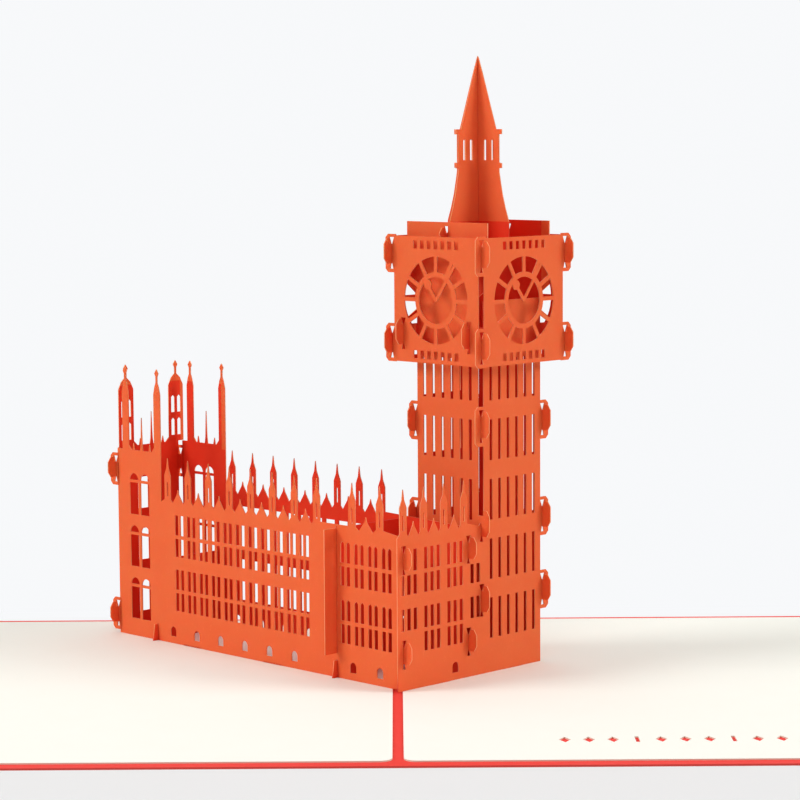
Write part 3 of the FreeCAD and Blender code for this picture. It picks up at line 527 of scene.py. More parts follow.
def plain_storeys(places: list[float], count: int, pitch: float) -> list[Outline]:
    """Windows of both storeys without bars, as wide as so many lights."""
    high = SIZES.transom + SIZES.window_bar + SIZES.lancet
    half = ((count - 1) * pitch + SIZES.light_wide) / 2
    return [rectangle(u - half, sill, u + half, sill + high)
            for u in places for sill in (SIZES.upper_sill, SIZES.lower_sill)]


def vents(places: list[float]) -> list[Outline]:
    """Small arched openings at the base."""
    sill = SIZES.vent_sill
    return [round_arch(u, sill, sill + SIZES.vent_high, SIZES.vent_wide) for u in places]


def turret(u: float, wide: float, shoulder: float) -> Outline:
    """Top edge over a turret, from its left side to its right: shaft, cap, neck and finial."""
    half = wide / 2
    cap, top = SIZES.turret_cap, SIZES.turret_top
    rise = top - cap
    left = [(u - half, shoulder), (u - half, cap - rise * 0.2), (u - half * 0.6, cap + rise * 0.16)]
    left += [(u - slit * 0.5, cap + rise * 0.36), (u - slit * 0.5, cap + rise * 0.66)]
    left += [(u - slit * 1.3, cap + rise * 0.8)]
    right = [(2 * u - p, v) for p, v in reversed(left)]
    return left + [(u, top)] + right


def tower_roof_edge(first: float, last: float) -> Outline:
    """Top edge between two turrets: small merlons at both sides of a thin needle."""
    roof, needle = SIZES.tower_roof, SIZES.needle_top
    middle = (first + last) / 2
    gap = (last - first) / 2
    rise = SIZES.merlon
    left = [(first, roof + rise * 0.7), (first + gap * 0.2, roof), (first + gap * 0.3, roof)]
    left += [(first + gap * 0.36, roof + rise), (first + gap * 0.44, roof), (middle - slit, roof)]
    left += [(middle - slit / 2, roof + rise)]
    right = [(2 * middle - p, v) for p, v in reversed(left)]
    return left + [(middle, needle)] + right


def arched_windows(middle: float) -> list[Outline]:
    """Three storeys of paired arched lights, each with a transom under its head."""
    wide = SIZES.arch_wide
    half = wide / 2
    openings = []
    for level in range(3):
        sill = SIZES.arch_sill + level * SIZES.arch_storey
        spring = sill + SIZES.arch_high - half
        for u in centred(middle, wide + SIZES.window_bar, 2):
            openings.append(rectangle(u - half, sill, u + half, spring - SIZES.window_bar * 1.4))
            openings.append(half_round(u, spring - SIZES.window_bar * 0.6, wide))
    return openings


def tower_slots(middle: float, first_level: int) -> list[Outline]:
    """Rows of long slots, one row to a storey.

    Args:
        middle: Middle of the wall.
        first_level: Lowest storey that has slots, counted from the page.
    """
    openings = []
    half, high = SIZES.slot_wide / 2, SIZES.slot_high
    for level in range(first_level, STOREYS):
        base = SIZES.slot_base + level * SIZES.slot_storey
        for u in centred(middle, SIZES.slot_pitch, SLOTS):
            openings.append(rectangle(u - half, base, u + half, base + high))
    return openings


def tie(wall_edge: float, plane: float, side: int, foot: float, height: float) -> Outline:
    """An arm that leaves a tower wall and hooks through the dial sheet in front of it."""
    root = wall_edge - side * slit
    face = plane + side * slit / 2
    tip = plane + side * SIZES.hook_reach
    top = foot + height
    crest_height = top + hook_rise
    notch = face + side * slit
    bevel = side * slit * 1.6
    points = [(root, foot), (tip - bevel, foot), (tip, foot + hook_rise), (tip, top)]
    points += [(tip - bevel, crest_height), (notch, crest_height), (notch, top), (root, top)]
    return outline(points if side > 0 else points[::-1])


def ties(first: float, last: float, joints: list[Joint]) -> list[Outline]:
    """Arms at both edges of a tower wall, each with its hook."""
    arms = []
    for edge, side in ((first, -1), (last, 1)):
        plane = edge + side * (dial_out + edge_gap)
        arms += [tie(edge, plane, side, foot, height) for foot, height in joints]
    return arms


def ring_openings(u: float, v: float) -> list[Outline]:
    """The twelve openings of a dial's ring, each between two spokes."""
    outer, inner, spoke = SIZES.ring_outer, SIZES.ring_inner, SIZES.spoke / 2
    openings = []
    for k in range(HOURS):
        first, last = 2 * math.pi * k / HOURS, 2 * math.pi * (k + 1) / HOURS
        swing_out = math.asin(spoke / outer)
        swing_in = math.asin(spoke / inner)
        turns = [(outer, first + swing_out + (last - first - 2 * swing_out) * t / 6) for t in range(7)]
        turns += [(inner, last - swing_in - (last - first - 2 * swing_in) * t / 4) for t in range(5)]
        openings.append(outline([(u + r * math.cos(a), v + r * math.sin(a)) for r, a in turns]))
    return openings


def clock_hand(u: float, v: float, degrees: float, length: float, spade: bool) -> Outline:
    """A straight hand from the middle of the dial, with a spade near its end if it has one."""
    half = SIZES.hand / 2
    reach = [(half, 0), (half, length), (-half, length), (-half, 0), (0, -half)]
    if spade:
        wide = SIZES.dial_eye * 0.2
        at = length * 0.55
        reach = [(half, 0), (half, at), (wide, at + wide * 0.6), (wide, at + wide * 1.4), (half, length)]
        reach += [(-half, length), (-wide, at + wide * 1.4), (-wide, at + wide * 0.6), (-half, at), (-half, 0)]
        reach += [(0, -half)]
    lean = math.radians(-degrees)
    turned = []
    for p, q in reach:
        turned.append((u + p * math.cos(lean) - q * math.sin(lean), v + p * math.sin(lean) + q * math.cos(lean)))
    return outline(turned)


def dentils(u: float, v: float) -> list[Outline]:
    """A row of small upright openings."""
    wide, high = SIZES.dentil / 2, SIZES.dentil_high / 2
    places = centred(u, SIZES.dentil_pitch, DENTILS)
    return [rectangle(p - wide, v - high, p + wide, v + high) for p in places]


def spire_outline(middle: float, foot: float) -> Outline:
    """A spire sheet: straight foot, hollow taper, lantern with pegs, and the needle."""
    base = SIZES.tower_wide / 2 - edge_gap
    start = SIZES.head_top
    lantern = SIZES.lantern_half
    z0, z1 = SIZES.lantern_base, SIZES.lantern_base + SIZES.lantern_high
    peg = SIZES.slip * 8
    side = [(base, foot), (base, start)]
    for k in (1, 2, 3):
        t = k / 4
        hollow = SIZES.spire_hollow * math.sin(math.pi * t)
        side.append((base + (lantern - base) * t - hollow, start + (z0 - start) * t))
    side += [(lantern, z0 - peg), (lantern, z0), (lantern + peg, z0), (lantern + peg, z0 + peg * 1.4)]
    side += [(lantern, z0 + peg * 1.4), (lantern, z1 - peg * 1.4), (lantern + peg, z1 - peg * 1.4)]
    side += [(lantern + peg, z1), (lantern * 0.86, z1)]
    for k in (1, 2, 3, 4):
        t = k / 5
        side.append((lantern * 0.86 * (1 - t) + slit * t, z1 + (SIZES.spire_top - z1) * t * 0.94))
    side.append((slit / 2, SIZES.spire_top - slit))
    return [(middle - u, v) for u, v in side] + [(middle, SIZES.spire_top)] + [
        (middle + u, v) for u, v in reversed(side)]


def lantern_windows(middle: float) -> list[Outline]:
    """Two narrow lights in each arm of the lantern."""
    lantern = SIZES.lantern_half
    z0 = SIZES.lantern_base + SIZES.lantern_high * 0.2
    z1 = SIZES.lantern_base + SIZES.lantern_high * 0.76
    openings = []
    for arm in (-1, 1):
        for share in (0.36, 0.7):
            openings.append(lancet_light(middle + arm * lantern * share, z0, z1, SIZES.lantern_light))
    return openings


class Family(Enum):
    """The two ways that sheets run in the lattice."""

    LONG = (-1.0, 1.0)
    CROSS = (1.0, 1.0)


@dataclass
class SheetCutter:
    """Cuts sheets of paper to their outlines and stands them on the lattice.

    Attributes:
        made: The finished sheets.
    """

    made: list[bpy.types.Object] = field(default_factory=list)

    def blank(self, name: str, outlines: list[Outline], thickness: float) -> bpy.types.Object:
        """Flat pieces of even thickness, in millimetres.

        Args:
            name: Name of the object.
            outlines: Their outlines, which don't touch each other.
            thickness: Their thickness.

        Returns:
            The object, selected and active.
        """
        lines = bpy.data.curves.new(name, "CURVE")
        lines.dimensions = "2D"
        lines.fill_mode = "BOTH"
        lines.extrude = thickness / 2
        for corners in outlines:
            line = lines.splines.new("POLY")
            line.points.add(len(corners) - 1)
            for point, (u, v) in zip(line.points, corners):
                point.co = (u, v, 0.0, 1.0)
            line.use_cyclic_u = True
        bpy.ops.object.select_all(action="DESELECT")
        piece = bpy.data.objects.new(name, lines)
        bpy.context.scene.collection.objects.link(piece)
        piece.select_set(True)
        bpy.context.view_layer.objects.active = piece
        bpy.ops.object.convert(target="MESH")
        piece = bpy.context.active_object
        bpy.ops.object.mode_set(mode="EDIT")
        bpy.ops.mesh.select_all(action="SELECT")
        bpy.ops.mesh.remove_doubles(threshold=0.0005)
        bpy.ops.mesh.normals_make_consistent(inside=False)
        bpy.ops.object.mode_set(mode="OBJECT")
        return piece

    def batches(self, outlines: list[Outline]) -> list[list[Outline]]:
        """Sorts outlines into groups in which none touches another.

        Args:
            outlines: The outlines.

        Returns:
            The groups, in order.
        """
        groups: list[list[tuple[Outline, tuple[float, float, float, float]]]] = []
        for corners in outlines:
            us, vs = [p for p, _ in corners], [q for _, q in corners]
            box = (min(us), min(vs), max(us), max(vs))
            for group in groups:
                if not any(box[0] <= b[2] and b[0] <= box[2] and box[1] <= b[3] and b[1] <= box[3]
                           for _, b in group):
                    group.append((corners, box))
                    break
            else:
                groups.append([(corners, box)])
        return [[corners for corners, _ in group] for group in groups]

    def combine(self, piece: bpy.types.Object, outlines: list[Outline], kind: str, thickness: float) -> None:
        """Adds flat pieces to a sheet, or cuts them out of it.

        Args:
            piece: The sheet.
            outlines: Outlines of the flat pieces.
            kind: UNION or DIFFERENCE.
            thickness: Their thickness, in millimetres.
        """
        for group in self.batches(outlines):
            tool = self.blank("tool", group, thickness)
            bpy.ops.object.select_all(action="DESELECT")
            piece.select_set(True)
            bpy.context.view_layer.objects.active = piece
            change = piece.modifiers.new(kind.lower(), "BOOLEAN")
            change.operation = kind
            change.solver = "EXACT"
            change.object = tool
            bpy.ops.object.modifier_apply(modifier=change.name)
            bpy.data.objects.remove(tool)

    def stand(self, piece: bpy.types.Object, family: Family, place: float) -> None:
        """Stands a sheet on the plane at that place of the lattice.

        Args:
            piece: The sheet, flat and in millimetres.
            family: Which way the sheet runs.
            place: Its distance from the front corner, in millimetres.
        """
        share = math.sqrt(0.5)
        run = Vector((family.value[0] * share, family.value[1] * share, 0.0))
        step = Vector((-family.value[0] * share, family.value[1] * share, 0.0))
        corner = Vector((0.0, SIZES.corner_setback - SIZES.card_depth / 2, 0.0)) + step * place
        square = run.cross(Vector((0.0, 0.0, 1.0)))
        turn = Matrix((run, (0.0, 0.0, 1.0), square)).transposed().to_4x4()
        piece.matrix_world = Matrix.Scale(0.001, 4) @ Matrix.Translation(corner) @ turn
        bpy.ops.object.select_all(action="DESELECT")
        piece.select_set(True)
        bpy.context.view_layer.objects.active = piece
        bpy.ops.object.transform_apply(location=True, rotation=True, scale=True)

    def sheet(self, node: str, family: Family, place: float, solid: list[Outline], openings: list[Outline],
              over: tuple[Outline, ...] = ()) -> bpy.types.Object:
        """One sheet of the building, in the place of its plain node.

        Args:
            node: The node that it stands for.
            family: Which way the sheet runs.
            place: Its distance from the front corner, in millimetres.
            solid: Outline of the sheet, and the hooks, ears and tabs that reach past it.
            openings: What is cut away from them.
            over: What crosses the openings and stays.

        Returns:
            The sheet.
        """
        piece = self.blank(f"{node}_paper", solid[:1], SIZES.paper)
        self.combine(piece, solid[1:], "UNION", SIZES.paper)
        self.combine(piece, openings, "DIFFERENCE", SIZES.paper * 3)
        self.combine(piece, list(over), "UNION", SIZES.paper)
        self.stand(piece, family, place)
        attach(piece, "root")
        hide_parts(node)
        self.made.append(piece)
        LOG.info("cut %s with %d faces", piece.name, len(piece.data.polygons))
        return piece


@dataclass
class Hall:
    """The gothic hall: its two long walls, the gable side and the sheets that cross it.

    Attributes:
        near_tab: Place of the first tab of the long walls, along.
        far_tab: Place of their second tab.
    """

    near_tab: float = SIZES.near_tab
    far_tab: float = SIZES.far_tab

    def long_wall(self, cutter: SheetCutter, label: str, place: float, near: float, flat: bool,
                  slits: list[Outline]) -> None:
        """A long wall of the hall, with a broad side of the corner tower at its far end.

        Args:
            cutter: What cuts the sheet.
            label: Name of the wall.
            place: Its distance from the front corner.
            near: Where the wall starts, along.
            flat: True where the wall has no pinnacles in front of the cross wall.
            slits: Its own slits and notches, besides those that both long walls have.
        """
        far = end_wall - edge_gap
        half = SIZES.turret_wide / 2
        right, left = SIZES.turret_place, SIZES.turret_place + SIZES.turret_spacing
        bay_crest = centred(SIZES.bay_middle, SIZES.bay_pitch, 2)
        reach = min(SIZES.hall_middle - cross_wall, right - half - SIZES.hall_middle)
        hall_crest = centred(SIZES.hall_middle, SIZES.pinnacle_pitch, int(round(2 * reach / SIZES.pinnacle_pitch)))
        top = [(near, eaves)]
        if not flat:
            top += crest(bay_crest, SIZES.bay_pitch)
        top += crest(hall_crest, SIZES.pinnacle_pitch) + [(right - half, eaves)]
        top += turret(right, SIZES.turret_wide, SIZES.tower_roof)
        top += tower_roof_edge(right + half, left - half)
        top += turret(left, SIZES.turret_wide, SIZES.tower_roof)
        top += [(far, SIZES.tower_roof)]
        wall = [outline([(near, page_top)] + top + [(far, page_top)])]
        count = 2 * int((reach - SIZES.window_pitch / 2) / SIZES.window_pitch) + 1
        groups = centred(SIZES.hall_middle, SIZES.window_pitch, count)
        openings = arched_windows((right - half + far) / 2) + crest_slots(hall_crest)
        openings += vents(centred(SIZES.vent_middle, SIZES.vent_pitch, 6))
        if flat:
            openings += plain_storeys(groups, 2, SIZES.light_pitch)
        else:
            bay = centred(SIZES.bay_middle, SIZES.window_pitch, 4)
            openings += storeys(bay, 2, SIZES.light_pitch, True) + crest_slots(bay_crest)
            openings += storeys(groups, 2, SIZES.light_pitch, False)
            openings += vents(centred(SIZES.bay_middle, SIZES.vent_pitch, 2))
        joints = hooks(0, -1, HALL_HOOKS) + ears(end_wall, 1, END_HOOKS)
        joints += page_tabs([self.near_tab, self.far_tab])
        slits = slits + [foot_notch(low_wall)] + hook_slits(end_wall, END_HOOKS)
        cutter.sheet(label, Family.LONG, place, wall + joints, openings + slits)

    def long_walls(self, cutter: SheetCutter) -> None:
        """Both long walls."""
        lap = rectangle(cross_wall - slit / 2, SIZES.cross_lap, cross_wall + slit / 2, eaves + slit)
        self.long_wall(cutter, "front_wall", front_wall, slit / 2, False, [lap, foot_notch(cross_wall)])
        self.long_wall(cutter, "back_wall", back_wall, edge_gap, True, hook_slits(cross_wall, HALL_HOOKS[:1]))

    def gable_side(self, cutter: SheetCutter) -> None:
        """The gable side of the hall and the right side of the clock tower, in one sheet."""
        edge = tower_front + edge_gap
        right_crest = centred(SIZES.gable_crest, SIZES.gable_pinnacle_pitch, 4)
        top = [(0.0, eaves)] + crest(right_crest, SIZES.gable_pinnacle_pitch)
        top += [(tower_front - edge_gap, eaves), (edge, eaves + edge_gap * 2), (edge, dial_centre)]
        top += [(tower_back - edge_gap, dial_centre), (tower_back - edge_gap, page_top)]
        wall = [outline([(0.0, page_top)] + top)]
        groups = [SIZES.gable_first + k * SIZES.gable_window_pitch for k in range(3)]
        pitch = SIZES.gable_light_pitch
        openings = storeys(groups[1:], 3, pitch, False)
        upper, lower = SIZES.upper_sill, SIZES.lower_sill
        openings += lower_lights(groups[:1], 3, pitch, upper) + upper_lights(groups[:1], 3, pitch, lower, False)
        openings += upper_lights([groups[0] + pitch], 1, pitch, upper, False)
        pair = [(back_wall + tower_front) / 2]
        openings += lower_lights(pair, 2, pitch, upper) + upper_lights(pair, 2, pitch, lower, False)
        openings += crest_slots(right_crest) + vents([groups[2]])
        openings += tower_slots(tower_mid_across, 0)
        joints = ears(tower_back, 1, TOWER_HOOKS) + ears(tower_front, -1, TOWER_HOOKS[2:])
        joints += ties(tower_front + edge_gap, tower_back - edge_gap, DIAL_TIES)
        joints += page_tabs([SIZES.gable_tab, tower_mid_across])
        slits = hook_slits(front_wall, HALL_HOOKS) + hook_slits(back_wall, HALL_HOOKS)
        slits += hook_slits(tower_front, TOWER_HOOKS) + hook_slits(tower_back, TOWER_HOOKS)
        cutter.sheet("right_wall", Family.CROSS, 0.0, wall + joints, openings + slits)

    def cross_sheets(self, cutter: SheetCutter) -> None:
        """The cross wall and the low wall."""
        cross_end = back_wall - edge_gap
        tongue = front_wall - SIZES.cross_reach
        front = front_wall - slit / 2
        points = [(front, page_top), (cross_end, page_top), (cross_end, eaves), (tongue, eaves)]
        points += [(tongue, SIZES.tongue_base), (front, SIZES.tongue_base)]
        foot_top = page_top + SIZES.foot_height
        lap = rectangle(front, foot_top, front_wall + slit / 2, SIZES.cross_lap)
        joints = hooks(back_wall, 1, HALL_HOOKS[:1]) + [foot_lug(front_wall, -1)]
        cutter.sheet("cross_wall", Family.CROSS, cross_wall, [outline(points)] + joints, [lap])
        plate = rectangle(front_wall + edge_gap, page_top, back_wall - edge_gap, SIZES.low_wall_top)
        lugs = [foot_lug(front_wall, -1), foot_lug(back_wall, 1)]
        cutter.sheet("low_wall", Family.CROSS, low_wall, [plate] + lugs, [])

    def end(self, cutter: SheetCutter) -> None:
        """The end wall of the corner tower, with its two broad turrets."""
        first, last = front_wall + edge_gap, back_wall - edge_gap
        broad, roof = SIZES.side_turret_wide, SIZES.tower_roof
        front_turret, back_turret = SIZES.side_turret_front, SIZES.side_turret_back
        top = [(first, roof)] + turret(front_turret, broad, roof)
        top += tower_roof_edge(front_turret + broad / 2, back_turret - broad / 2)
        top += turret(back_turret, broad, roof) + [(last, roof)]
        wall = [outline([(first, page_top)] + top + [(last, page_top)])]
        wall += hooks(front_wall, -1, END_HOOKS) + hooks(back_wall, 1, END_HOOKS)
        wall += page_tabs([(front_wall + back_wall) / 2])
        openings = arched_windows((first + last) / 2)
        for u in (front_turret, back_turret):
            for column in centred(u, broad * 0.42, 2):
                for level in range(2):
                    sill = roof + SIZES.turret_sill + level * SIZES.turret_storey
                    openings.append(lancet_light(column, sill, sill + SIZES.turret_light, SIZES.light_wide))
        cutter.sheet("end_wall", Family.CROSS, end_wall, wall, openings)

    def build(self, cutter: SheetCutter) -> None:
        """Cuts every sheet of the hall."""
        self.long_walls(cutter)
        self.gable_side(cutter)
        self.cross_sheets(cutter)
        self.end(cutter)


@dataclass
class ClockTower:
    """The clock tower: its walls, its four dials and its spire.

    Attributes:
        lean: Angle of a clock hand from upright, in degrees.
    """

    lean: float = SIZES.hand_lean

    def long_wall(self, cutter: SheetCutter, label: str, place: float) -> None:
        """A wall of the clock tower that runs along the lattice and carries on above the dials.

        Args:
            cutter: What cuts the sheet.
            label: Name of the wall.
            place: Its distance from the front corner.
        """
        low, high = edge_gap, tower_side - edge_gap
        reach, head = SIZES.head_reach, SIZES.head_top
        neck = dial_centre + edge_gap
        points = [(low, page_top), (high, page_top), (high, neck), (tower_side + reach, neck + reach)]
        points += [(tower_side + reach, head), (-reach, head), (-reach, neck + reach), (low, neck)]
        joints = hooks(0, -1, TOWER_HOOKS) + ears(tower_side, 1, TOWER_HOOKS) + page_tabs([tower_mid_along])
        slits = hook_slits(tower_side, TOWER_HOOKS) + hook_slits(tower_mid_along, SPIRE_HOOKS)
        openings = tower_slots(tower_mid_along, LIT_STOREY) + slits
        cutter.sheet(label, Family.LONG, place, [outline(points)] + joints, openings)

    def far_wall(self, cutter: SheetCutter) -> None:
        """The far wall, hooked through both long walls."""
        low, high = tower_front + edge_gap, tower_back - edge_gap
        plate = [rectangle(low, page_top, high, dial_centre)]
        joints = hooks(tower_front, -1, TOWER_HOOKS) + hooks(tower_back, 1, TOWER_HOOKS)
        joints += ties(low, high, DIAL_TIES) + page_tabs([tower_mid_across])
        openings = tower_slots(tower_mid_across, LIT_STOREY)
        cutter.sheet("tower_far_wall", Family.CROSS, tower_side, plate + joints, openings)

    def dial(self, cutter: SheetCutter, label: str, family: Family, place: float, start: float,
             hooked: tuple[bool, bool]) -> None:
        """A dial sheet: ring of openings, two hands, rows of square openings and its corner joints.

        Args:
            cutter: What cuts the sheet.
            label: Name of the sheet.
            family: Which way the sheet runs.
            place: Its distance from the front corner.
            start: Where the tower begins along this sheet.
            hooked: For the near and the far edge, True for hooks and False for ears.
        """
        near, far = start - dial_out, start + SIZES.tower_wide + dial_out
        middle = (near + far) / 2
        edge = SIZES.dentil_edge
        openings = ring_openings(middle, dial_centre)
        openings.append(many_sided(middle, dial_centre, SIZES.dial_eye, EYE_SIDES))
        openings += dentils(middle, dial_head - edge) + dentils(middle, dial_foot + edge)
        plate = [rectangle(near + edge_gap, dial_foot, far - edge_gap, dial_head)]
        rim = (SIZES.dial_eye + SIZES.ring_inner) / 2
        lean = self.lean if label.endswith("right") else -self.lean
        hands = (clock_hand(middle, dial_centre, lean, SIZES.ring_outer + slit / 2, False),
                 clock_hand(middle, dial_centre, -lean, rim, True))
        for plane, side, has_hooks in ((near, -1, hooked[0]), (far, 1, hooked[1])):
            if has_hooks:
                plate += hooks(plane, side, DIAL_HOOKS)
            else:
                plate += ears(plane, side, DIAL_HOOKS)
                openings += hook_slits(plane, DIAL_HOOKS)
        if family is Family.LONG:
            openings += hook_slits(start, DIAL_TIES) + hook_slits(start + SIZES.tower_wide, DIAL_TIES)
        cutter.sheet(label, family, place, plate, openings, hands)

    def dials(self, cutter: SheetCutter) -> None:
        """The four dials."""
        self.dial(cutter, "dial_front_left", Family.LONG, tower_front - dial_out, 0.0, (True, False))
        self.dial(cutter, "dial_back_right", Family.LONG, tower_back + dial_out, 0.0, (True, False))
        self.dial(cutter, "dial_front_right", Family.CROSS, -dial_out, tower_front, (False, False))
        self.dial(cutter, "dial_back_left", Family.CROSS, tower_side + dial_out, tower_front, (True, True))

    def spire(self, cutter: SheetCutter) -> None:
        """Two sheets halved into each other over the middle of the tower."""
        middle = tower_mid_across
        plate = [outline(spire_outline(middle, SIZES.spire_foot))]
        plate += hooks(tower_front, -1, SPIRE_HOOKS) + hooks(tower_back, 1, SPIRE_HOOKS)
        lap = rectangle(middle - slit / 2, SIZES.spire_lap, middle + slit / 2, SIZES.spire_top + slit)
        cutter.sheet("spire_cross", Family.CROSS, tower_mid_along, plate, lantern_windows(middle) + [lap])
        middle = tower_mid_along
        plate = [outline(spire_outline(middle, SIZES.spire_foot))]
        lap = rectangle(middle - slit / 2, SIZES.spire_foot - slit, middle + slit / 2, SIZES.spire_lap)
        cutter.sheet("spire_long", Family.LONG, tower_mid_across, plate, lantern_windows(middle) + [lap])

    def build(self, cutter: SheetCutter) -> None:
        """Cuts every sheet of the clock tower."""
        self.long_wall(cutter, "tower_left_wall", tower_front)
        self.long_wall(cutter, "tower_back_wall", tower_back)
        self.far_wall(cutter)
        self.dials(cutter)
        self.spire(cutter)


class Nodes:
    """Short ways to place and join the nodes of one shader tree."""

    def __init__(self, tree: bpy.types.NodeTree) -> None:
        """Keeps the tree that the nodes go into."""
        self.tree = tree

    def add(self, kind: str, **values: object) -> bpy.types.Node:
        """A new node.

        Args:
            kind: Blender's name of the node.
            **values: Properties to set on it.

        Returns:
            The node.
        """
        node = self.tree.nodes.new(kind)
        for name, value in values.items():
            setattr(node, name, value)
        return node

    def join(self, source: bpy.types.NodeSocket, target: bpy.types.NodeSocket) -> None:
        """Joins an output to an input."""
        self.tree.links.new(source, target)

    def math(self, kind: str, first: object, second: object = None, clamp: bool = False) -> bpy.types.NodeSocket:
        """Arithmetic on sockets or numbers.

        Args:
            kind: The operation.
            first: A socket or number.
            second: A socket or number, where the operation has two.
            clamp: True to keep the result from 0 to 1.

        Returns:
            The socket of the result.
        """
        node = self.add("ShaderNodeMath", operation=kind, use_clamp=clamp)
        for slot, value in zip(node.inputs, (first, second)):
            if isinstance(value, bpy.types.NodeSocket):
                self.join(value, slot)
            elif value is not None:
                slot.default_value = value
        return node.outputs[0]

    def mix(self, share: object, first: object, second: object) -> bpy.types.NodeSocket:
        """A blend of two colours.

        Args:
            share: Socket or number, 0 for the first colour and 1 for the second.
            first: Socket or colour.
            second: Socket or colour.

        Returns:
            The socket of the blended colour.
        """
        node = self.add("ShaderNodeMix", data_type="RGBA")
        for slot, value in ((node.inputs[0], share), (node.inputs[6], first), (node.inputs[7], second)):
            if isinstance(value, bpy.types.NodeSocket):
                self.join(value, slot)
            else:
                slot.default_value = value
        return node.outputs[2]


class PaperFibres:
    """The shader group that gives every sheet its fibres, clouds and surface grain."""

    NAME = "paper_fibres"

    def build(self) -> bpy.types.ShaderNodeTree:
        """Makes the group once.

        Returns:
            The group, with the inputs Grain and Fleck, and the outputs Cloud, Fibre and Height.
        """
        tree = bpy.data.node_groups.new(self.NAME, "ShaderNodeTree")
        grain = tree.interface.new_socket("Grain", in_out="INPUT", socket_type="NodeSocketFloat")
        grain.default_value = mm(0.25)
        for name in ("Cloud", "Fibre", "Height"):
            tree.interface.new_socket(name, in_out="OUTPUT", socket_type="NodeSocketFloat")
        make = Nodes(tree)
        inward = make.add("NodeGroupInput")
        outward = make.add("NodeGroupOutput")
        place = make.add("ShaderNodeTexCoord").outputs["Object"]
        fine = make.math("DIVIDE", 1.0, inward.outputs["Grain"])

        cloud = make.add("ShaderNodeTexNoise")
        cloud.inputs["Scale"].default_value = 1.0 / mm(9.0)
        cloud.inputs["Detail"].default_value = 4.0
        cloud.inputs["Roughness"].default_value = 0.6
        make.join(place, cloud.inputs["Vector"])

        lean = make.add("ShaderNodeMapping")
        lean.inputs["Rotation"].default_value = (0.35, 0.2, math.radians(45))
        lean.inputs["Scale"].default_value = (1.0, 1.0, 0.28)
        make.join(place, lean.inputs["Vector"])
        fibre = make.add("ShaderNodeTexNoise")
        fibre.inputs["Detail"].default_value = 3.0
        fibre.inputs["Distortion"].default_value = 1.4
        make.join(lean.outputs[0], fibre.inputs["Vector"])
        make.join(fine, fibre.inputs["Scale"])

        tooth = make.add("ShaderNodeTexVoronoi", feature="SMOOTH_F1")
        make.join(place, tooth.inputs["Vector"])
        make.join(make.math("MULTIPLY", fine, 0.8), tooth.inputs["Scale"])

        height = make.math("ADD", make.math("MULTIPLY", fibre.outputs[0], 0.7),
                           make.math("MULTIPLY", tooth.outputs["Distance"], 0.3))
        make.join(cloud.outputs[0], outward.inputs["Cloud"])
        make.join(fibre.outputs[0], outward.inputs["Fibre"])
        make.join(height, outward.inputs["Height"])
        return tree


class CutEdge:
    """The shader group that finds the cut edges of a sheet, and the places that other sheets close round, where
    shade is painted.
    """

    NAME = "cut_edge"

    def build(self) -> bpy.types.ShaderNodeTree:
        """Makes the group once.

        Returns:
            The group. Its input Facing is the line square to the sheet. Its output Edge is 1 on a
            cut edge, and Hollow rises from 0 to 1 where other sheets stand close round the place; it is an ambient
            occlusion mask for painted shade.
        """
        tree = bpy.data.node_groups.new(self.NAME, "ShaderNodeTree")
        tree.interface.new_socket("Facing", in_out="INPUT", socket_type="NodeSocketVector")
        reach = tree.interface.new_socket("Reach", in_out="INPUT", socket_type="NodeSocketFloat")
        reach.default_value = mm(9.0)
        for name in ("Edge", "Hollow"):
            tree.interface.new_socket(name, in_out="OUTPUT", socket_type="NodeSocketFloat")
        make = Nodes(tree)
        inward = make.add("NodeGroupInput")
        outward = make.add("NodeGroupOutput")
        facing = make.add("ShaderNodeNewGeometry").outputs["Normal"]
        turn = make.add("ShaderNodeVectorMath", operation="DOT_PRODUCT")
        make.join(facing, turn.inputs[0])
        make.join(inward.outputs["Facing"], turn.inputs[1])
        square = make.math("ABSOLUTE", turn.outputs["Value"])
        make.join(make.math("LESS_THAN", square, 0.5), outward.inputs["Edge"])

        # ambient occlusion: its mask paints shade into the base colour where sheets would shade each other
        open_sky = make.add("ShaderNodeAmbientOcclusion", samples=8)
        make.join(inward.outputs["Reach"], open_sky.inputs["Distance"])
        shut = make.math("SUBTRACT", 1.0, open_sky.outputs["AO"])
        stretched = make.math("DIVIDE", make.math("SUBTRACT", shut, 0.5), 0.35, clamp=True)
        make.join(stretched, outward.inputs["Hollow"])
        return tree


